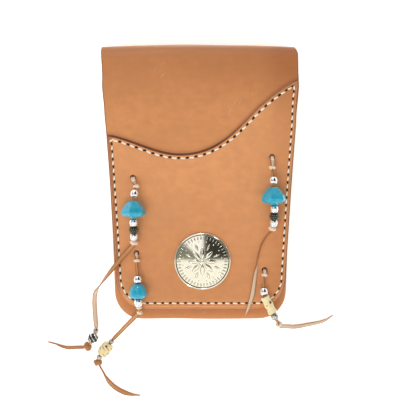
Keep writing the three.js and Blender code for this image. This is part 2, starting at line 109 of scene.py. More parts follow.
# Each lace's route from inside its hole to its cut tip, with its beads between route points, its look along
# the way and its knots. A look is (route point, width, thickness, roll in degrees), and the lace lies flat
# with its grain side up at no roll and shows its flesh side at 180.
LACES = {
    "upper_left": {
        "route": [
            (-43.7, 1.8, 36.9), (-43.7, 1.8, 39.8), (-43.4, 0.6, 42.6), (-42.6, -1.7, 44.6), (-42, -4.2, 46),
            (-42.1, -6.4, 47), (-42.4, -11.5, 48.6), (-42.7, -13.4, 49), (-42.8, -25.1, 49.3),
            (-42.8, -25.5, 49.2), (-42.7, -30.1, 48.2), (-42.7, -30.4, 48.1), (-42.7, -34.4, 46.9),
            (-42.7, -34.8, 46.8), (-42.6, -39.2, 45.2), (-43, -42, 43.9), (-46, -45.3, 42.2),
            (-50.7, -50.6, 41.6), (-55.3, -56, 41.5), (-58.9, -60.5, 40.4), (-62, -64.2, 36.2),
            (-64.7, -67.4, 30.2), (-67, -70.1, 23.6), (-69.1, -72.6, 16.6), (-71, -75.2, 9.8),
            (-72.3, -78.4, 4.4), (-72.8, -82.8, 1.8), (-72.6, -89, 1.2), (-72.1, -95.4, 1.4),
            (-71.6, -101.2, 2.2), (-72, -104.2, 3), (-72.4, -105.2, 3.4), (-75, -110.4, 3.5),
            (-76, -112.4, 3.1), (-77.6, -114, 2.7), (-80.6, -114.3, 1.8), (-85.7, -114.5, 1.2),
            (-91, -114.7, 1.2), (-95.4, -113.7, 1.2), (-99.8, -112, 1.2), (-105.2, -110.7, 1.2),
        ],
        "looks": [
            (0, 3.2, 1.2, 180), (1.5, 3.5, 1.1, 180), (2.6, 3.2, 1.1, 180), (3.2, 2.0, 1.2, 160),
            (4, 1.6, 1.2, 90), (6, 1.8, 1.2, 0), (14, 2.0, 1.2, 0), (16, 3.2, 1.1, 0), (18, 2.8, 1.0, 8),
            (20, 2.1, 0.9, 35), (21.6, 1.5, 0.8, 75), (22.6, 1.5, 0.8, 105), (24.2, 2.6, 0.9, 158),
            (26, 3.0, 1.0, 175), (28.6, 3.0, 1.0, 180), (29, 1.8, 1.1, 180), (32, 1.8, 1.1, 180),
            (34, 2.4, 1.1, 60), (36, 2.2, 1.1, 15), (37, 2.4, 1.1, 0), (38, 1.8, 1.1, 35), (39, 1.1, 0.9, 50),
            (40, 0.8, 0.7, 60),
        ],
        "knots": [(3.9, 4.6, "flesh", 0.8), (14.7, 5.8, "flesh", 0), (33.6, 7.4, "grain", -0.4)],
    },
    "lower_left": {
        "route": [
            (-41.4, -47.7, 36.9), (-41.4, -47.7, 39.8), (-41.4, -49, 42.4), (-41.3, -51, 43.8),
            (-41.2, -53.4, 44.4), (-40.9, -57, 45), (-40.6, -60.2, 45.6), (-40.3, -62.5, 46),
            (-40.1, -67.3, 46.7), (-40, -67.8, 46.8), (-39.9, -77.2, 46.8), (-39.9, -77.6, 46.7),
            (-39.7, -82.2, 45.4), (-39.5, -84.8, 44.3), (-40.4, -87.4, 42.2), (-42.8, -90.2, 38.4),
            (-45.6, -93.2, 33), (-48.3, -96.1, 26.8), (-51, -99, 20.4), (-53.5, -101.8, 14.4),
            (-55.9, -104.4, 9.4), (-58.1, -106.8, 5.8), (-60, -108.9, 3.9), (-61.9, -111.3, 4.1),
            (-62.2, -111.7, 4.2), (-68.3, -119.5, 4.2), (-68.5, -119.8, 4.1), (-70, -122.3, 3.5),
            (-70.4, -124.9, 2.8), (-69, -127.4, 2), (-66.9, -131.4, 1.3), (-64.6, -135.6, 1.2),
            (-61.4, -139.7, 1.2), (-57.6, -142.8, 1.2), (-53.1, -145.3, 1.2), (-47.8, -146.9, 1.2),
            (-41.3, -147.6, 1.2),
        ],
        "looks": [
            (0, 2.4, 1.2, 180), (2, 2.4, 1.1, 180), (3, 2.2, 1.1, 120), (4.2, 1.9, 1.1, 15), (8, 1.8, 1.2, 0),
            (13, 2.2, 1.2, 0), (15, 2.9, 1.3, 0), (21, 2.6, 1.3, 0), (22, 1.8, 1.1, 0), (27, 1.8, 1.1, 60),
            (29, 1.6, 1.0, 90), (30, 2.0, 1.0, 75), (32, 3.3, 1.0, 20), (34, 3.3, 1.0, -8), (36, 0.9, 0.8, 0),
        ],
        "knots": [
            (3.6, 4.4, "flesh", 0.3), (12.4, 4.2, "flesh", 0.2), (13.5, 4.4, "flesh", 0.8),
            (27.8, 6.8, "grain", 0),
        ],
    },
    "upper_right": {
        "route": [
            (47.7, 15.5, 36.9), (47.7, 15.5, 39.8), (47.7, 14.2, 42.5), (47.7, 11.8, 44.4), (47.6, 8.8, 45.6),
            (47.6, 5.9, 46.4), (48, 2, 47.4), (48.1, -2.8, 48.4), (48.2, -4.7, 48.8), (48.4, -16.3, 49.1),
            (48.5, -16.7, 49), (48.7, -21.2, 48), (48.7, -21.6, 47.9), (48.6, -25.5, 46.8),
            (48.5, -25.9, 46.7), (48.2, -30.2, 45.2), (47.3, -33, 43.9), (44.9, -35.4, 42.6),
            (42.6, -38.7, 41.7), (40.6, -42.3, 41.5), (39.3, -46.2, 41.5), (38.4, -50, 41.5),
            (37.6, -56, 41.5), (36.5, -62.2, 41.5), (35.7, -68, 41.5), (34.8, -74.2, 41.5), (33, -80.6, 41.5),
            (31.4, -85.2, 41.3), (29.9, -89.2, 40.4),
        ],
        "looks": [
            (0, 2.4, 1.2, 180), (2, 2.7, 1.1, 180), (4, 2.2, 1.2, 150), (5, 1.8, 1.2, 60), (7, 1.8, 1.2, 0),
            (15, 2.0, 1.2, 15), (17, 1.5, 0.8, 70), (20.5, 1.5, 0.75, 85), (21.6, 1.6, 0.8, 110),
            (23, 2.5, 0.9, 165), (25, 3.0, 1.0, 180), (26.5, 2.3, 0.9, 180), (28, 0.6, 0.6, 180),
        ],
        "knots": [(4.4, 4.6, "flesh", 0), (15.6, 5.6, "flesh", -0.3)],
    },
    "lower_right": {
        "route": [
            (42.8, -58.9, 36.9), (42.8, -58.9, 39.8), (42.7, -60.2, 42.4), (42.6, -62.3, 43.6),
            (42.4, -65.1, 43.9), (42, -68.2, 44), (41.8, -70.6, 44.2), (42.2, -75.2, 44.9), (42.4, -75.7, 45),
            (48.1, -87, 43.2), (48.3, -87.4, 43.1), (50.1, -91, 42.1), (51.6, -93.4, 40.3),
            (52.7, -95.3, 37.4), (53.9, -96.5, 33.2), (55.4, -97.2, 27.8), (57.2, -97.8, 21.8),
            (59.2, -98.5, 15.5), (61.6, -99.2, 9.5), (64.8, -99.8, 4.8), (69, -99.7, 2.2), (74.1, -98.8, 1.3),
            (79, -97.9, 1.2), (83.3, -96.9, 1.2), (87.4, -95.3, 1.2), (91.9, -92.2, 1.2),
        ],
        "looks": [
            (0, 2.4, 1.2, 180), (2, 2.4, 1.1, 180), (3, 2.0, 1.1, 140), (4, 1.4, 1.0, 80), (6, 1.8, 1.1, 0),
            (11, 1.8, 1.1, 0), (13, 2.6, 1.1, 150), (16, 2.8, 1.1, 180), (19, 2.8, 1.1, 180),
            (21, 2.5, 1.1, 200), (23, 2.1, 1.0, 200), (25, 0.8, 0.8, 180),
        ],
        "knots": [(3.0, 4.2, "flesh", 0), (12.8, 5.0, "flesh", 0)],
    },
}

BEADS = {
    "upper_left": [
        ("silver_bead_1", "silver", 5), ("turquoise_bead", "large_stone", 7), ("silver_bead_2", "silver", 9),
        ("oxidised_bead", "rondelle", 11), ("silver_bead_3", "silver", 13),
        ("small_silver_bead", "small_silver", 29), ("patterned_bead", "melon", 31),
    ],
    "lower_left": [
        ("silver_bead_1", "silver", 7), ("turquoise_bead", "small_stone", 9), ("silver_bead_2", "silver", 11),
        ("small_silver_bead_1", "small_silver", 22), ("bone_bead", "bone_barrel", 24),
        ("small_silver_bead_2", "small_silver", 26),
    ],
    "upper_right": [
        ("silver_bead_1", "silver", 6), ("turquoise_bead", "mid_stone", 8), ("silver_bead_2", "silver", 10),
        ("oxidised_bead", "rondelle", 12), ("silver_bead_3", "silver", 14),
    ],
    "lower_right": [
        ("silver_bead_1", "silver", 6), ("bone_bead", "bone_tube", 8), ("silver_bead_2", "mid_silver", 10)
    ],
}


# ---- Colours and nodes ----


def linear(colour):
    """A linear RGBA colour from an sRGB hex string."""
    channels = [int(colour[i : i + 2], 16) / 255 for i in (1, 3, 5)]
    return (*(c / 12.92 if c <= 0.04045 else ((c + 0.055) / 1.055) ** 2.4 for c in channels), 1)


def add_node(tree, kind, inputs=(), **settings):
    """A shader node with its settings, and a value, a socket or another node's own output on each input."""
    made = tree.nodes.new("ShaderNode" + kind)
    for name, value in settings.items():
        setattr(made, name, value)
    for name, value in dict(inputs).items():
        if isinstance(value, bpy.types.Node):
            value = next(socket for socket in value.outputs if socket.enabled)
        if isinstance(value, bpy.types.NodeSocket):
            tree.links.new(value, made.inputs[name])
        else:
            made.inputs[name].default_value = value
    return made


def new_material(name):
    """An empty material with its output, or None if it is already made."""
    if name in bpy.data.materials:
        return None
    made = bpy.data.materials.new(name)
    made.use_nodes = True
    made.node_tree.nodes.clear()
    return made


def finish_material(made, shader):
    """Joins a finished shader to the material's output."""
    add_node(made.node_tree, "OutputMaterial", {"Surface": shader})
    return made


# ---- Materials ----


def overlay_leather():
    """The overlay's cowhide, cut from a paler part of the hide, with painted shade towards its foot."""
    return saddle_leather("Pale vegetable-tanned cowhide", bpy.context.scene.bag_colours.overlay, 0.34)


def saddle_leather(name="Vegetable-tanned cowhide", lightest=None, foot_shade=0.0):
    """Vegetable-tanned cowhide, oiled: warm tan, cloudy where the oil went in, with a soft sheen."""
    made = new_material(name)
    if not made:
        return bpy.data.materials[name]
    tree = made.node_tree
    colours = bpy.context.scene.bag_colours
    lightest = lightest or colours.leather
    place = add_node(tree, "TexCoord").outputs["Object"]
    # Oil clouds are 30 to 50 mm across, and mottling about 6 mm.
    clouds = add_node(tree, "TexNoise", {"Vector": place, "Scale": 26, "Detail": 4, "Roughness": 0.55})
    mottle = add_node(tree, "TexNoise", {"Vector": place, "Scale": 165, "Detail": 3})
    tone = add_node(tree, "Math", {0: clouds, 1: mottle}, operation="MULTIPLY")
    spread = add_node(tree, "MapRange", {"Value": tone, "From Min": 0.15, "From Max": 0.36})
    body = add_node(
        tree,
        "Mix",
        {"Factor": spread, 6: (*[0.9 * c for c in lightest], 1), 7: (*lightest, 1)},
        data_type="RGBA",
    )
    # Painted shade darkens the hide towards the fold, most on its right and along its right edge.
    height = add_node(tree, "SeparateXYZ", {0: place})
    fold_shade = add_node(
        tree,
        "MapRange",
        {"Value": height.outputs["Y"], "From Min": 0.035, "From Max": 0.088},
        interpolation_type="SMOOTHSTEP",
    )
    right_shade = add_node(
        tree,
        "MapRange",
        {"Value": height.outputs["X"], "From Min": -0.03, "From Max": 0.06, "To Min": 0.57, "To Max": 0.79},
    )
    # Painted shade on what lies lower than the flap, such as the pouch under it.
    behind = add_node(
        tree,
        "MapRange",
        {"Value": height.outputs["Z"], "From Min": 0.0365, "From Max": 0.031, "To Max": 0.72},
    )
    edge = add_node(
        tree,
        "MapRange",
        {"Value": height.outputs["X"], "From Min": 0.036, "From Max": 0.062, "To Max": 0.34},
        interpolation_type="SMOOTHSTEP",
    )
    fold_and_edge_shade = add_node(tree, "Math", {0: fold_shade, 1: right_shade, 2: edge}, operation="MULTIPLY_ADD")
    inside_fold = add_node(
        tree, "MapRange", {"Value": height.outputs["Y"], "From Min": 0.085, "From Max": 0.075}
    )
    under_flap_shade = add_node(tree, "Math", {0: behind, 1: inside_fold}, operation="MULTIPLY")
    # Painted shade darkens the lower part of the bag towards its foot.
    foot = add_node(
        tree,
        "MapRange",
        {"Value": height.outputs["Y"], "From Min": 0.008, "From Max": -0.065, "To Max": foot_shade},
    )
    lower = add_node(tree, "Math", {0: fold_and_edge_shade, 1: foot})
    painted_shade = add_node(tree, "Math", {0: lower, 1: under_flap_shade}, operation="MAXIMUM")
    colour = add_node(
        tree, "Mix", {"Factor": painted_shade, 6: body, 7: (*colours.leather_shade, 1)}, data_type="RGBA"
    )
    # A painted highlight lights the fold's crest, and a painted shadow darkens the flap by the overlay's
    # edge.
    crest_highlight = add_node(
        tree,
        "MapRange",
        {"Value": height.outputs["Y"], "From Min": 0.0885, "From Max": 0.0908, "To Max": 0.75},
    )
    rubbed = add_node(tree, "Mix", {"Factor": crest_highlight, 6: colour, 7: linear("#e8b083")}, data_type="RGBA")
    beside = add_node(tree, "Attribute", attribute_name="shade")
    edge_shadow = add_node(tree, "MapRange", {"Value": beside.outputs["Fac"], "To Max": 0.8})
    colour = add_node(tree, "Mix", {"Factor": edge_shadow, 6: rubbed, 7: linear("#74401f")}, data_type="RGBA")
    # Growth lines run across the bag, about 6 mm long and 3 mm wide.
    run = add_node(tree, "Mapping", {"Vector": place, "Scale": (170, 330, 330)})
    streaks = add_node(tree, "TexNoise", {"Vector": run, "Scale": 1, "Detail": 3})
    streak_tone = add_node(
        tree,
        "MapRange",
        {"Value": streaks, "From Min": 0.3, "From Max": 0.7, "To Min": 0.965, "To Max": 1.025},
    )
    streaked = add_node(
        tree, "Mix", {"Factor": 1.0, 6: colour, 7: streak_tone}, data_type="RGBA", blend_type="MULTIPLY"
    )
    # Scuffs are 1.5 mm wide and 8 mm long, pale, slanting, in a few patches only.
    slant = add_node(
        tree,
        "Mapping",
        {"Vector": place, "Rotation": (0, 0, -0.5), "Scale": (0.0016, 0.009, 0.009)},
        vector_type="TEXTURE",
    )
    lines = add_node(tree, "TexNoise", {"Vector": slant, "Scale": 1, "Detail": 1})
    line = add_node(tree, "MapRange", {"Value": lines, "From Min": 0.66, "From Max": 0.8, "To Max": 0.3})
    patch = add_node(tree, "MapRange", {"Value": clouds, "From Min": 0.54, "From Max": 0.64})
    scratch = add_node(tree, "Math", {0: line, 1: patch}, operation="MULTIPLY")
    colour = add_node(tree, "Mix", {"Factor": scratch, 6: streaked, 7: linear("#f2c79d")}, data_type="RGBA")
    # Pores are 0.3 mm apart, drawn at 0.9 mm so that they show; creases run across the bag.
    pores = add_node(tree, "TexVoronoi", {"Vector": place, "Scale": 1100})
    stretch = add_node(tree, "Mapping", {"Vector": place, "Scale": (30, 210, 210)})
    creases = add_node(tree, "TexNoise", {"Vector": stretch, "Scale": 1, "Detail": 5})
    grain = add_node(
        tree, "Bump", {"Height": pores.outputs["Distance"], "Strength": 0.12, "Distance": 0.00012}
    )
    relief = add_node(
        tree, "Bump", {"Height": creases, "Strength": 0.22, "Distance": 0.0006, "Normal": grain}
    )
    gloss = add_node(
        tree, "MapRange", {"Value": mottle, "From Min": 0.3, "From Max": 0.7, "To Min": 0.42, "To Max": 0.58}
    )
    shader = add_node(
        tree, "BsdfPrincipled", {"Base Color": colour, "Roughness": gloss, "IOR": 1.45, "Normal": relief}
    )
    return finish_material(made, shader)


def cut_edge(name, left, right, foot, roughness=0.36):
    """A waxed cut edge of cowhide, with painted shade on the bag's left and a painted highlight at its foot.
    """
    made = new_material(name)
    if not made:
        return bpy.data.materials[name]
    tree = made.node_tree
    place = add_node(tree, "TexCoord").outputs["Object"]
    axis = add_node(tree, "SeparateXYZ", {0: place})
    # Painted shade darkens the bag's left, and a painted highlight lightens the foot.
    to_right = add_node(tree, "MapRange", {"Value": axis.outputs["X"], "From Min": 0.012, "From Max": 0.034})
    sides = add_node(tree, "Mix", {"Factor": to_right, 6: linear(left), 7: linear(right)}, data_type="RGBA")
    foot_highlight = add_node(tree, "MapRange", {"Value": axis.outputs["Y"], "From Min": -0.07, "From Max": -0.08})
    tone = add_node(tree, "Mix", {"Factor": foot_highlight, 6: sides, 7: linear(foot)}, data_type="RGBA")
    fibres = add_node(tree, "TexNoise", {"Vector": place, "Scale": 700, "Detail": 3})
    depth = add_node(
        tree, "MapRange", {"Value": fibres, "From Min": 0.3, "From Max": 0.7, "To Min": 0.78, "To Max": 1.12}
    )
    colour = add_node(
        tree, "Mix", {"Factor": 1.0, 6: tone, 7: depth}, data_type="RGBA", blend_type="MULTIPLY"
    )
    bump = add_node(tree, "Bump", {"Height": fibres, "Strength": 0.2, "Distance": 0.0002})
    shader = add_node(tree, "BsdfPrincipled", {"Base Color": colour, "Roughness": roughness, "Normal": bump})
    return finish_material(made, shader)


def burnished_edge():
    """The hide's edge, dyed and burnished: darker than its face, with a painted highlight at its foot."""
    return cut_edge("Burnished cowhide edge", "#985f3b", "#945b38", "#c98f60")


def overlay_rim_finish():
    """The overlay's edge, with a little dye: painted shade on the bag's left, a painted highlight at its
    foot.
    """
    return cut_edge("Overlay cowhide edge, painted light", "#945b36", "#c48c5e", "#e6b489")


def overlay_shadow_finish():
    """A painted shadow in the corner where the overlay's edge meets the flap, thinner towards the right."""
    return cut_edge("Painted overlay edge shadow", "#7e4220", "#b37650", "#7e4220", 0.6)


def flesh_side():
    """The hide's unfinished back: pale, matt and fibrous."""
    made = new_material("Cowhide flesh side")
    if not made:
        return bpy.data.materials["Cowhide flesh side"]
    tree = made.node_tree
    place = add_node(tree, "TexCoord").outputs["Object"]
    fibres = add_node(tree, "TexNoise", {"Vector": place, "Scale": 420, "Detail": 5, "Roughness": 0.65})
    colour = add_node(
        tree, "Mix", {"Factor": fibres, 6: linear("#b98a60"), 7: linear("#dcb48a")}, data_type="RGBA"
    )
    bump = add_node(tree, "Bump", {"Height": fibres, "Strength": 0.45, "Distance": 0.0004})
    shader = add_node(tree, "BsdfPrincipled", {"Base Color": colour, "Roughness": 0.88, "Normal": bump})
    return finish_material(made, shader)


def lace_finish(name, low, high, roughness, middle=1.5, rim=0.4):
    """Cut deerskin lace: faint streaks running in its own length, darker along both edges."""
    made = new_material(name)
    if not made:
        return bpy.data.materials[name]
    tree = made.node_tree
    uv = add_node(tree, "TexCoord").outputs["UV"]
    # UV is in millimetres round and along the lace, so streaks are 0.7 mm wide and 8 mm long.
    stretch = add_node(tree, "Mapping", {"Vector": uv, "Scale": (1.4, 0.12, 1)})
    streaks = add_node(tree, "TexNoise", {"Vector": stretch, "Scale": 1, "Detail": 4})
    colour = add_node(tree, "Mix", {"Factor": streaks, 6: linear(low), 7: linear(high)}, data_type="RGBA")
    across = add_node(tree, "SeparateXYZ", {0: uv})
    off_middle = add_node(tree, "Math", {0: across.outputs["X"], 1: middle}, operation="SUBTRACT")
    outwards = add_node(tree, "Math", {0: off_middle}, operation="ABSOLUTE")
    edges = add_node(tree, "MapRange", {"Value": outwards, "From Min": 0.75, "From Max": 1.5, "To Max": rim})
    shaded = add_node(tree, "Mix", {"Factor": edges, 6: colour, 7: linear("#82502c")}, data_type="RGBA")
    bump = add_node(tree, "Bump", {"Height": streaks, "Strength": 0.3, "Distance": 0.0002})
    shader = add_node(tree, "BsdfPrincipled", {"Base Color": shaded, "Roughness": roughness, "Normal": bump})
    return finish_material(made, shader)


def plain_finish(name, low, high, roughness, scale, metallic=0.0, strength=0.15, depth=0.0001):
    """A finish whose only pattern is a fine mottle of two close colours."""
    made = new_material(name)
    if not made:
        return bpy.data.materials[name]
    tree = made.node_tree
    place = add_node(tree, "TexCoord").outputs["Object"]
    mottle = add_node(tree, "TexNoise", {"Vector": place, "Scale": scale, "Detail": 4})
    colour = add_node(tree, "Mix", {"Factor": mottle, 6: linear(low), 7: linear(high)}, data_type="RGBA")
    bump = add_node(tree, "Bump", {"Height": mottle, "Strength": strength, "Distance": depth})
    shader = add_node(
        tree,
        "BsdfPrincipled",
        {"Base Color": colour, "Metallic": metallic, "Roughness": roughness, "Normal": bump},
    )
    return finish_material(made, shader)


def polished_silver():
    """Polished sterling beads: a clean mirror with hairline wear that only just breaks the highlight."""
    return plain_finish("Polished silver", "#ecedf0", "#fafbff", 0.07, 900, 1.0, 0.04, 0.00005)


def worn_silver():
    """Small cast silver beads, tarnished in patches and rubbed bright between them."""
    return plain_finish("Tarnished silver", "#55544f", "#f4f2ec", 0.2, 620, 1.0, 0.3, 0.0002)


def coin_silver():
    """Struck and domed silver: a slightly warm mirror, rubbed by handling."""
    return plain_finish("Struck silver", "#e6e1cf", "#fcf7e6", 0.13, 600, 1.0, 0.08, 0.00006)


def oxidised_silver():
    """Silver blackened with sulphur and rubbed back: dark grey-green in the hollows."""
    return plain_finish("Oxidised silver", "#23241f", "#5a5c52", 0.34, 900, 1.0, 0.3, 0.0001)


def nickel_plate():
    """Stamped brass snap parts, nickel plated: a warm grey mirror, a little rubbed."""
    return plain_finish("Nickel-plated brass", "#b9b4a8", "#d2cec4", 0.22, 500, 1.0, 0.06, 0.00005)


def waxed_thread():
    """Twisted linen thread, waxed: cream, with a dull shine and visible plies."""
    return plain_finish("Waxed linen thread", "#f4e7c8", "#fffaf0", 0.6, 1500, 0.0, 0.5, 0.0002)


def needle_hole():
    """The inside of a hole, painted dark as its shade, over compressed fibre."""
    return plain_finish("Awl hole in cowhide", "#1e0e06", "#3a1e0e", 0.8, 900, 0.0, 0.3, 0.0002)


def turquoise_stone():
    """Polished stabilised turquoise: sky blue, cloudy, with a few thin brown veins."""
    made = new_material("Stabilised turquoise")
    if not made:
        return bpy.data.materials["Stabilised turquoise"]
    tree = made.node_tree
    colours = bpy.context.scene.bag_colours
    place = add_node(tree, "TexCoord").outputs["Object"]
    # Clouds in the stone are 2 to 5 mm across.
    clouds = add_node(tree, "TexNoise", {"Vector": place, "Scale": 300, "Detail": 5, "Roughness": 0.6})
    body = add_node(
        tree, "Mix", {"Factor": clouds, 6: linear("#0d7ba0"), 7: (*colours.turquoise, 1)}, data_type="RGBA"
    )
    # Veins are 0.15 mm wide and 6 to 9 mm apart, bent by the clouds.
    bent = add_node(tree, "Mix", {"Factor": 0.004, 4: place, 5: clouds.outputs["Color"]}, data_type="VECTOR")
    cells = add_node(tree, "TexVoronoi", {"Vector": bent, "Scale": 140}, feature="DISTANCE_TO_EDGE")
    vein = add_node(
        tree, "MapRange", {"Value": cells.outputs["Distance"], "From Max": 0.02, "To Min": 0.3, "To Max": 0}
    )
    colour = add_node(tree, "Mix", {"Factor": vein, 6: body, 7: linear("#4a6a66")}, data_type="RGBA")
    bump = add_node(tree, "Bump", {"Height": clouds, "Strength": 0.15, "Distance": 0.0003})
    shader = add_node(
        tree, "BsdfPrincipled", {"Base Color": colour, "Roughness": 0.1, "IOR": 1.5, "Normal": bump}
    )
    return finish_material(made, shader)


def carved_bone():
    """Cow bone, sanded and waxed: cream with straw-coloured streaks along the bead."""
    made = new_material("Waxed cow bone")
    if not made:
        return bpy.data.materials["Waxed cow bone"]
    tree = made.node_tree
    colours = bpy.context.scene.bag_colours
    place = add_node(tree, "TexCoord").outputs["Object"]
    pith = add_node(tree, "TexNoise", {"Vector": place, "Scale": 380, "Detail": 5, "Roughness": 0.7})
    colour = add_node(
        tree, "Mix", {"Factor": pith, 6: linear("#d8c088"), 7: (*colours.bone, 1)}, data_type="RGBA"
    )
    bump = add_node(tree, "Bump", {"Height": pith, "Strength": 0.25, "Distance": 0.0002})
    shader = add_node(
        tree,
        "BsdfPrincipled",
        {
            "Base Color": colour,
            "Roughness": 0.4,
            "IOR": 1.55,
            "Subsurface Weight": 0.1,
            "Subsurface Radius": (0.002, 0.0015, 0.001),
            "Normal": bump,
        },
    )
    return finish_material(made, shader)


def burnt_mark():
    """Dots burnt into bone: dark brown, matt."""
    return plain_finish("Burnt bone", "#4a2a14", "#7a4a26", 0.7, 900, 0.0, 0.3, 0.0001)


def stained_cut():
    """Cuts in bone rubbed with tea-coloured stain, matt."""
    return plain_finish("Stained bone carving", "#a58347", "#cdae72", 0.7, 900, 0.0, 0.3, 0.0001)


def lit_table():
    """An opal acrylic table lit from below, so that shadows on it are only faint."""
    made = new_material("Opal acrylic")
    if not made:
        return bpy.data.materials["Opal acrylic"]
    tree = made.node_tree
    shader = add_node(
        tree,
        "BsdfPrincipled",
        {
            "Base Color": linear("#f5f5f5"),
            "Roughness": 0.8,
            "Emission Color": (1, 1, 1, 1),
            "Emission Strength": 0.55,
        },
    )
    return finish_material(made, shader)


def lace_grain():
    """The smooth outer side of a deerskin lace: warm tan, with a low sheen."""
    return lace_finish("Deerskin lace, grain side", "#a86c3e", "#d2975f", 0.55, 1.5, 0.8)


def lace_flesh():
    """The suede side of a deerskin lace: paler, and quite without shine."""
    return lace_finish("Deerskin lace, flesh side", "#cbad90", "#e6d0b8", 0.85, 5.9)


def lace_edge():
    """The cut edge of a deerskin lace, which draws a darker line along the strip."""
    return lace_finish("Deerskin lace, cut edge", "#8f5a34", "#bd8555", 0.8, 3.7)


def lace_stretched():
    """Deerskin stretched in a knot or out of a hole: palest, and at the hole painted light over its shade."""
    return lace_finish("Deerskin lace, stretched in a knot", "#e8cdae", "#fdf3e2", 0.85, 5.9)


# ---- Making meshes ----


def tidy_selection():
    if bpy.context.object and bpy.context.object.mode != "OBJECT":
        bpy.ops.object.mode_set(mode="OBJECT")
    bpy.ops.object.select_all(action="DESELECT")


def make_active(piece):
    tidy_selection()
    piece.select_set(True)
    bpy.context.view_layer.objects.active = piece


def mesh_from(name, points, faces, materials=(), indices=None):
    """A mesh object from points in millimetres."""
    mesh = bpy.data.meshes.new(name)
    mesh.from_pydata([Vector(p) * MM for p in points], [], faces)
    for finish in materials:
        mesh.materials.append(finish)
    if indices:
        mesh.polygons.foreach_set("material_index", indices)
    mesh.update()
    made = bpy.data.objects.new(name, mesh)
    bpy.context.scene.collection.objects.link(made)
    return made


def apply_modifier(piece, kind, **settings):
    make_active(piece)
    bpy.ops.object.modifier_add(type=kind)
    modifier = piece.modifiers[-1]
    for name, value in settings.items():
        setattr(modifier, name, value)
    bpy.ops.object.modifier_apply(modifier=modifier.name)


def smooth(piece, angle=40):
    make_active(piece)
    bpy.ops.object.shade_smooth_by_angle(angle=math.radians(angle))


def face_outwards(piece):
    make_active(piece)
    bpy.ops.object.mode_set(mode="EDIT")
    bpy.ops.mesh.select_all(action="SELECT")
    bpy.ops.mesh.normals_make_consistent(inside=False)
    bpy.ops.object.mode_set(mode="OBJECT")


def lay_uvs(piece, uvs):
    """Gives a lace's mesh its UVs, in millimetres round it and along it."""
    for loop, uv in zip(piece.data.uv_layers.new(name="Lace").data, uvs):
        loop.uv = uv


def search_tree(points):
    """A tree that finds the nearest of some (x, y) points."""
    tree = KDTree(len(points))
    for i, (x, y) in enumerate(points):
        tree.insert((x, y, 0), i)
    tree.balance()
    return tree


def join(name, parts):
    """One mesh out of several, under one name."""
    tidy_selection()
    for part in parts:
        part.select_set(True)
    bpy.context.view_layer.objects.active = parts[0]
    if len(parts) > 1:
        bpy.ops.object.join()
    parts[0].name = name
    return parts[0]


def turned(name, profile, steps, finish):
    """A piece turned round Z from (radius, height) points, as a vertex extruded along them and spun."""
    tidy_selection()
    bpy.ops.mesh.primitive_plane_add(size=MM)
    piece = bpy.context.object
    piece.name = name
    bpy.ops.object.mode_set(mode="EDIT")
    bpy.ops.mesh.merge(type="CENTER")
    bpy.ops.transform.translate(value=(profile[0][0] * MM, 0, profile[0][1] * MM))
    for (r0, z0), (r1, z1) in zip(profile, profile[1:]):
        bpy.ops.mesh.extrude_vertices_move(
            TRANSFORM_OT_translate={"value": ((r1 - r0) * MM, 0, (z1 - z0) * MM)}
        )
    bpy.ops.mesh.select_all(action="SELECT")
    bpy.ops.mesh.spin(steps=steps, angle=math.tau, center=(0, 0, 0), axis=(0, 0, 1))
    bpy.ops.mesh.select_all(action="SELECT")
    bpy.ops.mesh.remove_doubles(threshold=1e-6)
    bpy.ops.mesh.normals_make_consistent(inside=False)
    bpy.ops.object.mode_set(mode="OBJECT")
    piece.data.materials.append(finish)
    return piece


def copy_at(pattern, name, matrix):
    """A copy of a pattern piece with its own mesh, placed by a matrix in metres."""
    made = bpy.data.objects.new(name, pattern.data.copy())
    made.data.transform(matrix)
    if matrix.determinant() < 0:
        made.data.flip_normals()
    bpy.context.scene.collection.objects.link(made)
    return made


def discard(*pieces):
    for piece in pieces:
        bpy.data.objects.remove(piece)


# ---- The bag's outlines and faces ----


def half_width(outline, y):
    """Half the width of a tapered outline at a height."""
    low = outline["low"] - outline["inset"]
    corner = outline["corner"] - outline["inset"]
    corner_y = outline["bottom"] + outline["corner"]
    if y >= SHOULDER_Y:
        return TOP_HALF - outline["inset"]
    if y < corner_y:
        drop = min(corner, corner_y - y)
        return low - corner + math.sqrt(corner**2 - drop**2)
    a = corner_y - 2 * WAIST_Y + SHOULDER_Y
    b = 2 * (WAIST_Y - corner_y)
    t = (-b + math.sqrt(b * b - 4 * a * (corner_y - y))) / (2 * a)
    waist = outline["waist"] - outline["inset"]
    return (1 - t) ** 2 * low + 2 * t * (1 - t) * waist + t * t * (TOP_HALF - outline["inset"])


def corner_rows(outline, steps):
    """Heights down the round lower corners, so that the rows are even round them."""
    corner = outline["corner"] - outline["inset"]
    corner_y = outline["bottom"] + outline["corner"]
    return [corner_y - corner * math.sin(math.pi / 2 * i / steps) for i in range(1, steps + 1)]


def spaced(start, end, step):
    """Numbers from start to end, about a step apart, ends included."""
    count = max(1, round(abs(end - start) / step))
    return [start + (end - start) * i / count for i in range(count + 1)]


def smoothstep(low, high, value):
    """An even ease from 0 at low to 1 at high."""
    t = min(1, max(0, (value - low) / (high - low)))
    return t * t * (3 - 2 * t)


def lie(x, y):
    """How the front of the bag stands off its flat face: soft waves, and none under the concho."""
    broad = noise.noise(Vector((x / 34, y / 42, 3.1))) * 0.32
    fine = noise.noise(Vector((x / 15, y / 18, 7.7))) * 0.1
    calm = smoothstep(14, 34, math.hypot(x - CONCHO.x, y - CONCHO.y))
    side = smoothstep(0.8, 1, abs(x) / half_width(FLAP, max(y, -70)))
    return (broad + fine) * calm - 0.35 * side


def bow(x, y):
    """The fold bows: its ends stand a little lower than its middle."""
    return -(1.2 if x < 0 else 1.8) * (x / TOP_HALF) ** 2 * smoothstep(58, 90, y)


def lean(y):
    """The front sits a little to the right of the fold below it."""
    return 0.85 * smoothstep(62, 32, y)


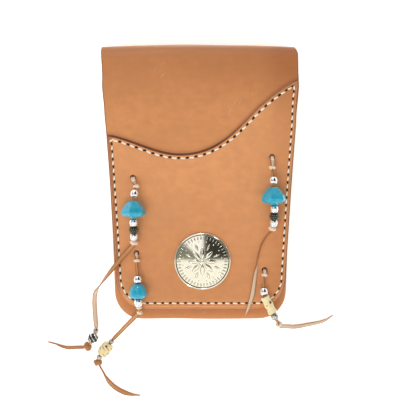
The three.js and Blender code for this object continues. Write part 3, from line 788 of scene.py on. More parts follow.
def spread(x, y):
    """The hide is a little wider at the fold, and its right corner there is rounder than its left."""
    if x < 0:
        wide = 1.3 * smoothstep(68, 92, y) - 0.5 * smoothstep(40, 53, y)
    else:
        wide = 0.8 * smoothstep(42, 58, y) - 0.3 * smoothstep(60, 75, y) - 1.5 * smoothstep(85, 91.5, y) ** 2
    return x / TOP_HALF * wide


def front_z(y, above=0):
    """Height of the flat front and the crown over it, `above` the flap's outer face."""
    if y <= CROWN_START:
        return FLAP_Z + above
    return FLAP_Z - CROWN_RADIUS + math.sqrt((CROWN_RADIUS + above) ** 2 - (y - CROWN_START) ** 2)


def wave_y(x):
    """Height up the bag of the overlay's S-shaped edge."""
    line = wave_line()
    if x >= line[0][0]:
        return line[0][1] + (x - line[0][0]) * 0.49
    for (x0, y0), (x1, y1) in zip(line, line[1:]):
        if x >= x1:
            return y0 + (y1 - y0) * (x0 - x) / (x0 - x1)
    return line[-1][1] + (line[-1][0] - x) * 0.25


def bezier(a, b, c, d, t):
    """The point at t on a cubic curve from a to d."""
    s = 1 - t
    return tuple(s**3 * p + 3 * t * s**2 * q + 3 * t * t * s * r + t**3 * w for p, q, r, w in zip(a, b, c, d))


def wave_line():
    """The overlay's upper edge as (x, y) points."""
    points = [bezier(*curve, i / 24) for curve in WAVE for i in range(24)]
    points.append(WAVE[-1][-1])
    return points


def inset_line(points, inset, closed):
    """A line drawn an even distance to the left of a run of (x, y) points."""
    tree = search_tree(points)
    kept = []
    count = len(points)
    for i, (x, y) in enumerate(points):
        before = points[i - 1] if i or closed else points[0]
        after = points[(i + 1) % count] if i < count - 1 or closed else points[-1]
        along = Vector((after[0] - before[0], after[1] - before[1]))
        if along.length < 1e-9:
            continue
        along.normalize()
        place = Vector((x - along.y * inset, y + along.x * inset, 0))
        if tree.find(place)[2] > inset - 0.08:
            kept.append((place.x, place.y))
    return kept


def even_line(points, step, closed=False, pace=None):
    """The same line with points an even step apart, or a longer one where `pace` is more than one."""
    run = [Vector((*p, 0)) if len(p) == 2 else Vector(p) for p in points]
    if closed:
        run.append(run[0])
    lengths = [0]
    for a, b in zip(run, run[1:]):
        lengths.append(lengths[-1] + (b - a).length / (pace(a) if pace else 1))
    count = round(lengths[-1] / step)
    made, k = [], 0
    for i in range(count + (0 if closed else 1)):
        at = lengths[-1] * i / count
        while k < len(run) - 2 and lengths[k + 1] < at:
            k += 1
        share = (at - lengths[k]) / max(1e-9, lengths[k + 1] - lengths[k])
        made.append(run[k].lerp(run[k + 1], share))
    return made


def overlay_x(share, y):
    """Place across the bag at a share of the overlay's half width, from -1 on its left to 1."""
    return OVERLAY["shift"] + lean(y) + share * (half_width(OVERLAY, y) + 0.5 * smoothstep(46, 66, y))


def overlay_top(share):
    """Where the S-shaped edge cuts the overlay, at a share of its half width from -1 on the left to 1."""
    top = 40
    for _ in range(30):
        top = wave_y(overlay_x(share, top))
    return top


def overlay_edge():
    """The overlay's outline, anticlockwise from the top of its left side."""
    sides = []
    for share in (-1, 1):
        heights = [
            *spaced(overlay_top(share), OVERLAY["bottom"] + OVERLAY["corner"], 0.6), *corner_rows(OVERLAY, 30)
        ]
        sides.append([(overlay_x(share, y), y) for y in heights])
    left, right = sides
    foot = [(x, left[-1][1]) for x in spaced(left[-1][0], right[-1][0], 0.6)]
    wave = [(p.x, p.y) for p in even_line(wave_line(), 0.6) if left[0][0] + 0.3 < p.x < right[0][0] - 0.3]
    edge = left + foot[1:-1] + right[::-1] + wave
    return [p for i, p in enumerate(edge) if math.dist(p, edge[i - 1]) > 0.05]


def seam_line():
    """The overlay's line of stitching, an even distance inside its edge."""
    inset = bpy.context.scene.bag_sizes.stitch_inset / MM
    return even_line(inset_line(overlay_edge(), inset, True), 0.5, True)


def back_seam_line():
    """The line that sews the pouch to the back panel: down one side, round the bottom and up the other."""
    heights = [*spaced(MOUTH_Y - 2, POUCH["bottom"] + POUCH["corner"], 0.8), *corner_rows(POUCH, 30)]
    left = [(-half_width(POUCH, y), y) for y in heights]
    right = [(half_width(POUCH, y), y) for y in heights]
    foot = [(x, left[-1][1]) for x in spaced(left[-1][0], right[-1][0], 0.8)]
    return even_line(inset_line(left + foot[1:-1] + right[::-1], 3.4, False), 0.5)


def overlay_height(x, y):
    """Height of the overlay's outer face, without its seam."""
    return front_z(y, OVERLAY_Z - FLAP_Z) + lie(x, y)


def overlay_y(x, y):
    """How far up the bag a point of the overlay lies, with the bow of the fold."""
    return y + bow(x, y)


# ---- Leather pieces ----


def fold_stations():
    """(y, z, turn) down the outside of the hide: up the back panel, over the fold and down the flap. `turn`
    is the angle of the face from the front, so it is pi on the back."""
    stations = []
    for y in reversed(corner_rows(POUCH, 9)):
        stations.append((y, BACK_Z, math.pi))
    roll_y = FOLD_Y - BACK_ROLL
    for y in spaced(POUCH["bottom"] + POUCH["corner"], roll_y, 2.6):
        stations.append((y, BACK_Z, math.pi))
    for turn in spaced(math.pi, math.pi / 2, math.pi / 26)[1:]:
        stations.append((roll_y + BACK_ROLL * math.sin(turn), FOLD_Z + BACK_ROLL * math.cos(turn), turn))
    for turn in spaced(math.pi / 2, CROWN_TURN, math.pi / 26)[1:]:
        reach = FOLD_Y - FRONT_ROLL + FRONT_ROLL * math.sin(turn)
        stations.append((reach, FOLD_Z + FRONT_ROLL * math.cos(turn), turn))
    for turn in spaced(CROWN_TURN, 0, CROWN_TURN / 26)[1:]:
        y = CROWN_START + CROWN_RADIUS * math.sin(turn)
        stations.append((y, front_z(y), turn))
    for y in [*spaced(CROWN_START, 8, 0.9)[1:], *spaced(8, FLAP["bottom"] + FLAP["corner"], 3)[1:]]:
        stations.append((y, front_z(y), 0))
    for y in corner_rows(FLAP, 9):
        stations.append((y, FLAP_Z, 0))
    return stations


def grid_piece(name, rows, finishes):
    """A sheet of quads from rows of points in millimetres, wound so that it faces outwards."""
    across = len(rows[0])
    points = [p for row in rows for p in row]
    faces = [
        (i * across + j, i * across + j + 1, (i + 1) * across + j + 1, (i + 1) * across + j)
        for i in range(len(rows) - 1)
        for j in range(across - 1)
    ]
    return mesh_from(name, points, faces, finishes)


def thicken(piece, thickness, rim_finish=1, inner_finish=0, bevel=0.5):
    """Gives a sheet its leather's thickness on its inner side, and rounds its cut edges."""
    apply_modifier(
        piece,
        "SOLIDIFY",
        thickness=thickness * MM,
        offset=-1,
        use_even_offset=True,
        material_offset=inner_finish,
        material_offset_rim=rim_finish,
    )
    apply_modifier(
        piece,
        "BEVEL",
        width=bevel * MM,
        segments=3,
        limit_method="ANGLE",
        angle_limit=math.radians(50),
        use_clamp_overlap=False,
        material=rim_finish,
    )


def punch(piece, holes, radius):
    """Punches round holes through a sheet, dark inside."""
    cutters = []
    for x, y in holes:
        tidy_selection()
        bpy.ops.mesh.primitive_cylinder_add(
            vertices=28, radius=radius * MM, depth=0.02, location=(x * MM, y * MM, 0.038)
        )
        cutters.append(bpy.context.object)
    cutter = join("punch", cutters)
    make_active(cutter)
    bpy.ops.object.transform_apply(location=True, rotation=True, scale=True)
    cutter.data.materials.append(needle_hole())
    apply_modifier(piece, "BOOLEAN", object=cutter, operation="DIFFERENCE", solver="EXACT")
    discard(cutter)


LACE_HOLES = [LACES[place]["route"][0][:2] for place in LACES]


def dimple(x, y):
    """The pull of a lace presses the leather down round its hole."""
    return -sum(0.35 * math.exp(-((math.hypot(x - hx, y - hy) / 3.2) ** 2)) for hx, hy in LACE_HOLES)


def shade_beside_overlay(hide):
    """Marks how near the flap's face is to the overlay's S-shaped edge, where a painted shadow darkens it."""
    tree = search_tree([(p.x, overlay_y(p.x, p.y)) for p in even_line(wave_line(), 0.5)])
    shade = hide.data.attributes.new("shade", "FLOAT", "POINT")
    for i, v in enumerate(hide.data.vertices):
        x, y, z = v.co / MM
        away = tree.find((x, y, 0))[2] if z > 30 else 99
        shade.data[i].value = max(0, 1 - away / (4.4 if x < 15 else 3.8)) ** 2


def shade_left_margin(overlay):
    """Marks the margin outside the overlay's left seam, darkened with painted shade."""
    shade = overlay.data.attributes.new("shade", "FLOAT", "POINT")
    for i, v in enumerate(overlay.data.vertices):
        x, y, _ = v.co / MM
        margin = smoothstep(3.2, 2.1, x - overlay_x(-1, y))
        shade.data[i].value = 0.62 * margin * smoothstep(-72, -58, y)


class MEDICINEBAG_OT_hide(bpy.types.Operator):
    """One hide makes the back panel, the fold and the flap"""

    bl_idname = "medicine_bag.hide"
    bl_label = "Hide"

    def execute(self, context):
        rows = []
        for y, z, turn in fold_stations():
            outline = POUCH if turn > math.radians(100) else FLAP
            half = half_width(outline, y)
            front = smoothstep(math.radians(60), math.radians(8), turn)
            row = []
            for j in range(HIDE_COLUMNS + 1):
                u = 2 * j / HIDE_COLUMNS - 1
                x = u * half
                stand = (lie(x, y) + dimple(x, y)) * front
                slack = noise.noise(Vector((x / 40, y / 40, 11))) * 0.3 * (1 - front)
                lift = stand + slack
                row.append(
                    (
                        x + spread(x, y) + lean(y) * front,
                        y + bow(x, y) + lift * math.sin(turn),
                        z + lift * math.cos(turn),
                    )
                )
            rows.append(row)
        hide = grid_piece("hide", rows[::-1], [saddle_leather(), burnished_edge(), flesh_side()])
        shade_beside_overlay(hide)
        thicken(hide, HIDE_THICK, rim_finish=1, inner_finish=2, bevel=0.7)
        punch(hide, LACE_HOLES, HOLE_RADIUS)
        smooth(hide, 38)
        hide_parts("back_panel", "flap")
        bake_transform(hide)
        return {"FINISHED"}


def overlay_shadow_fillet():
    """A thin dark fillet along the foot of the overlay's S-shaped edge: a painted shadow."""
    half = half_width(OVERLAY, 30)
    line = [p for p in even_line(wave_line(), 0.7) if -half - 0.2 < p.x - OVERLAY["shift"] < half + 3]
    points, faces = [], []
    for i, p in enumerate(line):
        along = (line[min(i + 1, len(line) - 1)] - line[max(i - 1, 0)]).normalized()
        out = Vector((along.y, -along.x, 0))
        thick = (0.85 if p.x < 15 else 0.7) * min(1, (i + 1) / 6, (len(line) - i) / 6)
        foot = Vector((p.x, overlay_y(p.x, p.y), front_z(p.y) + lie(p.x, p.y) + 0.05))
        for k in range(6):
            a = math.tau * k / 6
            points.append(
                foot + out * (0.3 + thick * math.cos(a)) + Vector((0, 0, 0.8 * thick * math.sin(a)))
            )
        if i:
            faces += [
                ((i - 1) * 6 + k, (i - 1) * 6 + (k + 1) % 6, i * 6 + (k + 1) % 6, i * 6 + k) for k in range(6)
            ]
    last = (len(line) - 1) * 6
    faces += [tuple(range(5, -1, -1)), tuple(range(last, last + 6))]
    fillet = mesh_from("overlay_shadow_fillet", points, faces, [overlay_shadow_finish()])
    face_outwards(fillet)
    return fillet


class MEDICINEBAG_OT_overlay(bpy.types.Operator):
    """The second layer of leather, with its S-shaped edge and its sunken line of stitching"""

    bl_idname = "medicine_bag.overlay"
    bl_label = "Overlay"

    def execute(self, context):
        tree = search_tree([(p.x, p.y) for p in seam_line()])
        corner_y = OVERLAY["bottom"] + OVERLAY["corner"]
        columns = []
        for j in range(OVERLAY_COLUMNS + 1):
            u = 2 * j / OVERLAY_COLUMNS - 1
            top = overlay_top(u)
            heights = [corner_y + (top - corner_y) * h for h in spaced(0, 1, 1 / OVERLAY_ROWS)]
            column = []
            for y in [*reversed(corner_rows(OVERLAY, 10)), *heights]:
                x = overlay_x(u, y)
                away = tree.find((x, y, 0))[2]
                outside = min(
                    half_width(OVERLAY, y) * (1 - abs(u)), y - OVERLAY["bottom"] - OVERLAY["inset"], top - y
                )
                groove = -0.34 * math.exp(-((away / 0.75) ** 2))
                edge = -0.16 * smoothstep(3.4, 0.4, outside)
                z = overlay_height(x, y) + dimple(x, y) + groove + edge
                column.append((x, overlay_y(x, y), z))
            columns.append(column)
        overlay = grid_piece("overlay_leather", columns[::-1], [overlay_leather(), overlay_rim_finish()])
        shade_left_margin(overlay)
        thicken(overlay, OVERLAY_THICK, rim_finish=1, bevel=0.55)
        punch(overlay, LACE_HOLES, HOLE_RADIUS)
        overlay = join("overlay_leather", [overlay, overlay_shadow_fillet()])
        smooth(overlay, 38)
        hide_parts("overlay")
        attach(overlay, "flap_body")
        return {"FINISHED"}


class MEDICINEBAG_OT_pouch(bpy.types.Operator):
    """The front of the pouch and its gusset, moulded over a form as one shell that sags a little"""

    bl_idname = "medicine_bag.pouch"
    bl_label = "Pouch"

    def execute(self, context):
        corner_y = SHELL["bottom"] + SHELL["corner"]
        heights = [*spaced(MOUTH_Y, corner_y, 3), *corner_rows(SHELL, 9)]
        across = 40
        # (inset from the outline, height) round the shoulder and down the gusset.
        profile = [
            (4.4, 33.4), (3.0, 33.3), (2.0, 33.0), (1.2, 32.5), (0.6, 31.8), (0.25, 30.8), (0.1, 29.2),
            (0, 27), (-0.1, 24.5), (-0.15, 21.5), (-0.15, 18), (0.1, 14.8), (0.35, 12.4), (0.2, 10.8),
            (-0.1, 9.9), (0, 9.4),
        ]
        flat_inset = profile[0][0]

        def slump(x, y, z):
            """How far the gusset sags outwards between its two seams."""
            middle = math.sin(math.pi * min(1, max(0, (z - 9.4) / 24)))
            return noise.noise(Vector((x / 22, y / 26, 5))) * 0.5 * middle

        def ring_point(x, y, nx, ny, inset, z, sag):
            reach = inset + sag - 1.15 * ny**2 * smoothstep(11, 20, z)
            return (x + nx * reach + 0.45, y + ny * reach, z)

        def edge_points(inset, z):
            """The outline at one inset, from the left of the mouth round to the right."""
            ring = []
            for side in (-1, 1):
                part = []
                for y in heights:
                    x = side * half_width(SHELL, y)
                    if y > corner_y:
                        step = 0.5
                        run = side * (half_width(SHELL, y + step) - half_width(SHELL, y - step)) / (2 * step)
                        along = Vector((run, 1)).normalized()
                        normal = Vector((-side * along.y, side * along.x))
                    else:
                        centre = Vector((side * (SHELL["low"] - SHELL["corner"]), corner_y))
                        normal = (centre - Vector((x, y))).normalized()
                    part.append(ring_point(x, y, normal.x, normal.y, inset, z, slump(x, y, z)))
                ring.append(part)
            left, right = ring
            foot = []
            for j in range(1, across):
                x0, x1 = left[-1][0], right[-1][0]
                x = x0 + (x1 - x0) * j / across
                foot.append((x, left[-1][1] + slump(x, SHELL["bottom"], z), z))
            return left + foot + right[::-1]

        first = edge_points(flat_inset, PANEL_Z)
        count = len(heights)
        left = first[:count]
        right = first[-count:][::-1]
        foot = first[count - 1 : count + across]
        grid = []
        for i in range(count):
            row = []
            for j in range(across + 1):
                if i == count - 1:
                    p = Vector(foot[j])
                else:
                    p = Vector(left[i]).lerp(Vector(right[i]), j / across)
                drop = front_z(p.y) - FLAP_Z
                u = 2 * j / across - 1
                puff = 0.55 * (1 - u**4) * smoothstep(-84, -60, p.y)
                calm = smoothstep(7, 18, math.hypot(p.x - CONCHO.x, p.y - CONCHO.y))
                row.append((p.x, p.y, PANEL_Z + drop + puff * calm))
            grid.append(row)
        points = [p for row in grid for p in row]
        stride = across + 1
        faces = [
            (i * stride + j, (i + 1) * stride + j, (i + 1) * stride + j + 1, i * stride + j + 1)
            for i in range(count - 1)
            for j in range(across)
        ]
        loop = (
            [i * (across + 1) for i in range(count)]
            + [(count - 1) * (across + 1) + j for j in range(1, across)]
            + [i * (across + 1) + across for i in reversed(range(count))]
        )
        for inset, z in profile[1:]:
            ring = edge_points(inset, z)
            start = len(points)
            for x, y, height in ring:
                drop = (front_z(y) - FLAP_Z) * smoothstep(14, 33.4, height)
                points.append((x, y, height + drop))
            new = list(range(start, start + len(ring)))
            faces += [(loop[k], new[k], new[k + 1], loop[k + 1]) for k in range(len(ring) - 1)]
            loop = new
        pouch = mesh_from("pouch", points, faces, [saddle_leather(), burnished_edge(), flesh_side()])
        thicken(pouch, 1.8, rim_finish=1, inner_finish=2, bevel=0.4)
        smooth(pouch, 45)
        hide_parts("front_panel", "gusset")
        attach(pouch, "pouch_body")
        return {"FINISHED"}


class MEDICINEBAG_OT_belt_loop(bpy.types.Operator):
    """The wide belt loop sewn on the back"""

    bl_idname = "medicine_bag.belt_loop"
    bl_label = "Belt loop"

    def execute(self, context):
        # (y, z) down the strap's outer face, softened at its two bends.
        line = [
            (60, 5), (55, 5), (51.6, 5), (50, 4.6), (48.4, 3.3), (46.9, 1.5), (45.6, 0.5), (44, 0), (38, 0),
            (30, 0), (20, 0), (10, 0), (0, 0), (-10, 0), (-20, 0), (-27, 0), (-32, 0), (-33.6, 0.5),
            (-34.9, 1.5), (-36.4, 3.3), (-38, 4.6), (-39.6, 5), (-43, 5), (-48, 5),
        ]
        rows = []
        for y, z in line:
            half = 22
            pull = 0.5 * math.exp(-(((y - 6) / 24) ** 2))
            row = []
            for j in range(25):
                u = 2 * j / 24 - 1
                cut = max(0, abs(y - 6) - 51) if abs(u) > 0.9 else 0
                row.append((u * (half - pull), y - math.copysign(cut * 0.6, y - 6), z))
            rows.append(row)
        loop = grid_piece("belt_loop_strap", rows, [saddle_leather(), burnished_edge(), flesh_side()])
        thicken(loop, 2.1, rim_finish=1, inner_finish=2, bevel=0.5)
        smooth(loop, 45)
        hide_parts("belt_loop")
        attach(loop, "pouch_body")
        return {"FINISHED"}


# ---- Stitching ----


def thread_pattern():
    """One stitch: a plump bit of thread along X, its ends dipping into the leather."""
    tidy_selection()
    bpy.ops.mesh.primitive_uv_sphere_add(segments=8, ring_count=8, radius=0.5 * MM)
    stitch = bpy.context.object
    bpy.ops.object.mode_set(mode="EDIT")
    bpy.ops.mesh.select_all(action="SELECT")
    bpy.ops.transform.rotate(value=math.pi / 2, orient_axis="Y", center_override=(0, 0, 0))
    bpy.ops.object.mode_set(mode="OBJECT")
    length = bpy.context.scene.bag_sizes.stitch_length / MM
    for v in stitch.data.vertices:
        p = v.co / MM
        along = p.x / 0.5
        p.x = math.copysign(abs(along) ** 0.6, along) * length / 2
        ply = 1 + 0.12 * math.sin(along * 9 + math.atan2(p.z, p.y) * 2)
        p.y *= 1.02 * ply
        p.z = p.z * 0.85 * ply - 0.34 * along * along
        v.co = p * MM
    stitch.data.materials.append(waxed_thread())
    return stitch


def hole_pattern():
    """The awl hole between two stitches: a slanted lens of shadow."""
    tidy_selection()
    bpy.ops.mesh.primitive_uv_sphere_add(segments=10, ring_count=6, radius=0.5 * MM)
    hole = bpy.context.object
    for v in hole.data.vertices:
        v.co.x *= 2.1
        v.co.y *= 1.25
        v.co.z *= 0.4
    hole.data.materials.append(needle_hole())
    return hole


def stitch_pace(p):
    """The S-shaped edge is sewn with longer stitches than the sides and the foot."""
    return 1.15 if wave_y(p.x) - p.y < 4 and abs(p.x) < 57 else 1


def sew(name, line, height, slant, flip=False, pace=None):
    """Stitches and awl holes along a line of points, on a face whose height is a function of (x, y)."""
    pitch = bpy.context.scene.bag_sizes.stitch_pitch / MM
    closed = (line[0] - line[-1]).length < 1.5
    marks = even_line([(p.x, p.y) for p in line], pitch / 2, closed, pace)
    random.seed(7)
    stitch, hole = thread_pattern(), hole_pattern()
    parts = []
    for i, mark in enumerate(marks):
        before = marks[i - 1] if i or closed else marks[0]
        after = marks[(i + 1) % len(marks)] if i < len(marks) - 1 or closed else marks[-1]
        along = after - before
        angle = math.atan2(along.y, along.x) + (slant if i % 2 == 0 else -slant)
        angle += random.uniform(-0.03, 0.03)
        z = height(mark.x, mark.y)
        turn = Matrix.Rotation(angle, 4, "Z")
        if flip:
            turn = turn @ Matrix.Rotation(math.pi, 4, "X")
        # The dark hole lenses sit a little above the thread, as a painted shadow cast upwards.
        rise = 0.25 * (i % 2)
        place = Matrix.Translation(Vector((mark.x, overlay_y(mark.x, mark.y) + rise, z)) * MM) @ turn
        if pace and pace(mark) > 1:
            place = place @ Matrix.Diagonal((1.12, 1.22, 1.1, 1))
        pattern = stitch if i % 2 == 0 else hole
        parts.append(copy_at(pattern, name, place))
    discard(stitch, hole)
    sewn = join(name, parts)
    make_active(sewn)
    bpy.ops.object.shade_smooth()
    return sewn


class MEDICINEBAG_OT_stitching(bpy.types.Operator):
    """Waxed thread round the overlay, on both sides of the flap, and round the back of the pouch"""

    bl_idname = "medicine_bag.stitching"
    bl_label = "Stitching"

    def execute(self, context):
        seam = seam_line()
        front = sew(
            "overlay_stitching",
            seam,
            lambda x, y: overlay_height(x, y) - 0.12,
            -STITCH_SLANT,
            False,
            stitch_pace,
        )
        under = sew(
            "flap_lining_stitching",
            seam,
            lambda x, y: front_z(y, -HIDE_THICK) + lie(x, y) + 0.1,
            -STITCH_SLANT,
            True,
            stitch_pace,
        )
        back = sew("back_stitching", back_seam_line(), lambda x, y: BACK_Z + 0.05, STITCH_SLANT, True)
        pads = []
        for low, high in ((-46.4, -40.6), (52.6, 58.4)):
            box = [(-19, low), (19, low), (19, high), (-19, high)]
            pads.append(sew("pad", even_line(box, 0.5, True), lambda x, y: 5.05, STITCH_SLANT, True))
        loop = join("belt_loop_stitching", pads)
        for piece, body in (
            (front, "flap_body"), (under, "flap_body"), (back, "pouch_body"), (loop, "pouch_body")
        ):
            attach(piece, body)
        return {"FINISHED"}


# ---- Concho ----


def dome_z(radius):
    """Height of the concho's face over its seat."""
    curve = (CONCHO_RADIUS**2 + 3.2**2) / (2 * 3.2)
    return 4.4 - curve + math.sqrt(curve**2 - radius**2)


def petal(length, width, height, finish):
    """A pointed leaf lying along X from the centre, domed across."""
    tidy_selection()
    bpy.ops.mesh.primitive_uv_sphere_add(segments=16, ring_count=8, radius=0.5 * MM)
    leaf = bpy.context.object
    for v in leaf.data.vertices:
        p = v.co / MM
        along = p.x / 0.5
        p.y *= width * (1 - 0.35 * abs(along)) * (1 + 0.15 * along)
        p.x *= length
        p.z = p.z * 2 * height
        v.co = p * MM
    leaf.data.materials.append(finish)
    return leaf


def on_dome(parts, lift):
    """Lays flat parts on the concho's dome."""
    for part in parts:
        for v in part.data.vertices:
            radius = math.hypot(v.co.x, v.co.y) / MM
            v.co.z += (dome_z(min(radius, CONCHO_RADIUS)) + lift) * MM


class MEDICINEBAG_OT_concho(bpy.types.Operator):
    """The domed silver concho, with a rim, a ring of bars and a sunburst of leaves"""

    bl_idname = "medicine_bag.concho"
    bl_label = "Concho"

    def execute(self, context):
        silver, dark = coin_silver(), oxidised_silver()
        edge = CONCHO_RADIUS
        profile = [(0.01, dome_z(0))]
        profile += [(r, dome_z(r)) for r in spaced(1, 16.9, 0.75)]
        profile += [
            (17.1, dome_z(17.1) - 0.22), (17.45, dome_z(17.45) - 0.22), (17.6, dome_z(17.6) + 0.1),
            (17.8, dome_z(17.8) + 0.28), (18.2, dome_z(18.2) + 0.3), (18.55, dome_z(18.55) + 0.1),
            (edge, dome_z(edge) - 0.25), (edge, 0.2), (edge - 0.2, -0.3), (edge - 1.2, -0.3),
            (edge - 1.6, 0.1), (12, 1.6), (0.01, 2.8),
        ]
        disc = turned("disc", profile, 120, silver)
        groove = turned(
            "groove",
            [
                (17.02, dome_z(17.02) - 0.14), (17.5, dome_z(17.5) - 0.14), (17.5, dome_z(17.5) - 0.3),
                (17.02, dome_z(17.02) - 0.3), (17.02, dome_z(17.02) - 0.14),
            ],
            120,
            dark,
        )
        parts = [disc, groove]
        bar = petal(2.3, 0.62, 0.22, silver)
        bed = petal(2.7, 1.0, 0.1, dark)
        leaf = petal(7.6, 2.8, 0.42, silver)
        leaf_bed = petal(8.2, 3.3, 0.14, dark)
        small = petal(4.6, 1.3, 0.3, silver)
        small_bed = petal(5.0, 1.7, 0.12, dark)
        pearl = petal(1.0, 1.0, 0.4, silver)
        rings = [
            (bar, 46, 15.35, 0, 0.02), (bed, 46, 15.35, 0, -0.02), (leaf, 8, 5.4, 0, 0.0),
            (leaf_bed, 8, 5.4, 0, -0.04), (small, 8, 9.9, math.pi / 8, 0.0),
            (small_bed, 8, 9.9, math.pi / 8, -0.04), (pearl, 16, 12.9, math.pi / 16, 0.0),
        ]
        for pattern, count, radius, start, lift in rings:
            outwards = Matrix.Translation((radius * MM, 0, 0))
            copies = [
                copy_at(pattern, "mark", Matrix.Rotation(start + math.tau * i / count, 4, "Z") @ outwards)
                for i in range(count)
            ]
            on_dome(copies, lift)
            parts += copies
        boss = turned("boss", [(0.01, 0.9), (0.6, 0.82), (1.1, 0.55), (1.45, 0.1), (1.6, -0.3)], 24, silver)
        on_dome([boss], 0)
        parts.append(boss)
        discard(bar, bed, leaf, leaf_bed, small, small_bed, pearl)
        concho = join("silver_concho", parts)
        concho.data.transform(Matrix.Translation(CONCHO * MM))
        smooth(concho, 35)
        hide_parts("concho")
        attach(concho, "flap_body")
        return {"FINISHED"}


class MEDICINEBAG_OT_snap(bpy.types.Operator):
    """Nickel plate on the three parts of the snap"""

    bl_idname = "medicine_bag.snap"
    bl_label = "Snap"

    def execute(self, context):
        for name in ("snap_socket", "snap_stud", "stud_rivet"):
            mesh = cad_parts[name].data
            mesh.materials.clear()
            mesh.materials.append(nickel_plate())
        return {"FINISHED"}


# ---- Laces ----


def lace_line(route, step=1.0):
    """Points (mm) an even step along the smooth curve through a route, and each route point's place on it."""
    points = [Vector(p) for p in route]
    points = [2 * points[0] - points[1], *points, 2 * points[-1] - points[-2]]
    fine, marks = [], []
    for p0, p1, p2, p3 in zip(points, points[1:], points[2:], points[3:]):
        d0, d1, d2 = (max(1e-4, (b - a).length) ** 0.5 for a, b in ((p0, p1), (p1, p2), (p2, p3)))
        t1 = ((p1 - p0) / d0 - (p2 - p0) / (d0 + d1) + (p2 - p1) / d1) * d1
        t2 = ((p2 - p1) / d1 - (p3 - p1) / (d1 + d2) + (p3 - p2) / d2) * d1
        marks.append(len(fine))
        for i in range(12):
            t = i / 12
            fine.append(
                p1 * (2 * t**3 - 3 * t**2 + 1)
                + t1 * (t**3 - 2 * t**2 + t)
                + p2 * (3 * t**2 - 2 * t**3)
                + t2 * (t**3 - t**2)
            )
    marks.append(len(fine))
    fine.append(points[-2])
    lengths = [0.0]
    for a, b in zip(fine, fine[1:]):
        lengths.append(lengths[-1] + (b - a).length)
    return even_line(fine, step), [lengths[m] for m in marks]


def along_route(marks, place):
    """Distance along a lace to a place between two of its route points."""
    k = min(int(place), len(marks) - 2)
    return marks[k] + (marks[k + 1] - marks[k]) * (place - k)


def look_at(looks, marks, at):
    """Width, thickness and roll of a lace at a distance along it."""
    places = [along_route(marks, k) for k, *_ in looks]
    if at <= places[0]:
        return looks[0][1:]
    for i in range(len(places) - 1):
        if at <= places[i + 1]:
            t = smoothstep(places[i], places[i + 1], at)
            return [a + (b - a) * t for a, b in zip(looks[i][1:], looks[i + 1][1:])]
    return looks[-1][1:]


def lace_frame(line, i):
    """A lace's direction, its upward side and its left side at one of its points."""
    along = (line[min(i + 1, len(line) - 1)] - line[max(i - 1, 0)]).normalized()
    rise = Vector((0, 0.6 * max(0, 1 - i / 7), 1))
    up = (rise - along * rise.dot(along)).normalized()
    return along, up, up.cross(along)


def strip_points(centre, up, side, width, thickness, fold):
    """The ten points round a lace's section, from the right of its grain side."""
    w, t = width / 2, thickness / 2
    c = min(0.22, t * 0.5)
    shape = [
        (w - c, t), (0, t - fold), (-w + c, t), (-w, t - c), (-w, -t + c), (-w + c, -t), (0, -t + fold),
        (w - c, -t), (w, -t + c), (w, t - c),
    ]
    return [centre + side * a + up * b for a, b in shape]


def lace_mesh(name, line, marks, looks, fold):
    """A lace as a strip with a grain side, a flesh side and two cut edges, and closed ends."""
    finishes = [lace_grain(), lace_flesh(), lace_edge(), lace_stretched()]
    points, faces, indices, uvs = [], [], [], []
    at = 0.0
    round_step = [0, 1.5, 3, 3.3, 4.1, 4.4, 5.9, 7.4, 7.7, 8.5, 8.8]
    side_of = [0, 0, 2, 2, 2, 1, 1, 2, 2, 2]
    for i, centre in enumerate(line):
        if i:
            at += (centre - line[i - 1]).length
        width, thickness, roll = look_at(looks, marks, at)
        along, up, side = lace_frame(line, i)
        turn = Matrix.Rotation(math.radians(roll), 3, along)
        points += strip_points(centre, turn @ up, turn @ side, width, thickness, fold)
        if i:
            for k in range(10):
                a, b = (i - 1) * 10 + k, (i - 1) * 10 + (k + 1) % 10
                faces.append((a, b, b + 10, a + 10))
                # Near the hole the flesh side is pale: stretched, and painted light over the hole's shade.
                indices.append(3 if i < 9 and side_of[k] == 1 else side_of[k])
                before = at - (centre - line[i - 1]).length
                uvs += [
                    (round_step[k], before), (round_step[k + 1], before), (round_step[k + 1], at),
                    (round_step[k], at),
                ]
    last = (len(line) - 1) * 10
    for cap in (tuple(range(9, -1, -1)), tuple(range(last, last + 10))):
        faces.append(cap)
        indices.append(2)
        uvs += [(0, at)] * 10
    lace = mesh_from(name, points, faces, finishes, indices)
    lay_uvs(lace, uvs)
    face_outwards(lace)
    return lace


def knot(size, finish_index):
    """A pulled-tight overhand knot of lace: a flat strand wound in a trefoil."""
    finishes = [lace_grain(), lace_stretched()]
    strand = size * (0.165 if finish_index else 0.12)
    middle = 5.9 if finish_index else 1.5
    loop = []
    for i in range(60):
        t = math.tau * i / 60
        r = 1 + 0.42 * math.cos(3 * t)
        spot = Vector((r * math.cos(2 * t), r * math.sin(2 * t), 0.75 * math.sin(3 * t)))
        loop.append(spot * (size / 2 - strand) / 1.42)
    points, faces, uvs = [], [], []
    for i, p in enumerate(loop):
        along = (loop[(i + 1) % 60] - loop[i - 1]).normalized()
        out = (p - along * p.dot(along)).normalized()
        side = along.cross(out)
        for k in range(8):
            a = math.tau * k / 8
            points.append(p + out * math.cos(a) * strand * 0.8 + side * math.sin(a) * strand * 1.45)
    for i in range(60):
        for k in range(8):
            a, b = i * 8 + k, i * 8 + (k + 1) % 8
            c, d = ((i + 1) % 60) * 8 + (k + 1) % 8, ((i + 1) % 60) * 8 + k
            faces.append((a, b, c, d))
            uvs += [
                (middle + (round_at - 4) * 0.3, lengthwise * 0.4)
                for round_at, lengthwise in ((k, i), (k + 1, i), (k + 1, i + 1), (k, i + 1))
            ]
    made = mesh_from("knot", points, faces, finishes, [finish_index] * len(faces))
    lay_uvs(made, uvs)
    face_outwards(made)
    return made


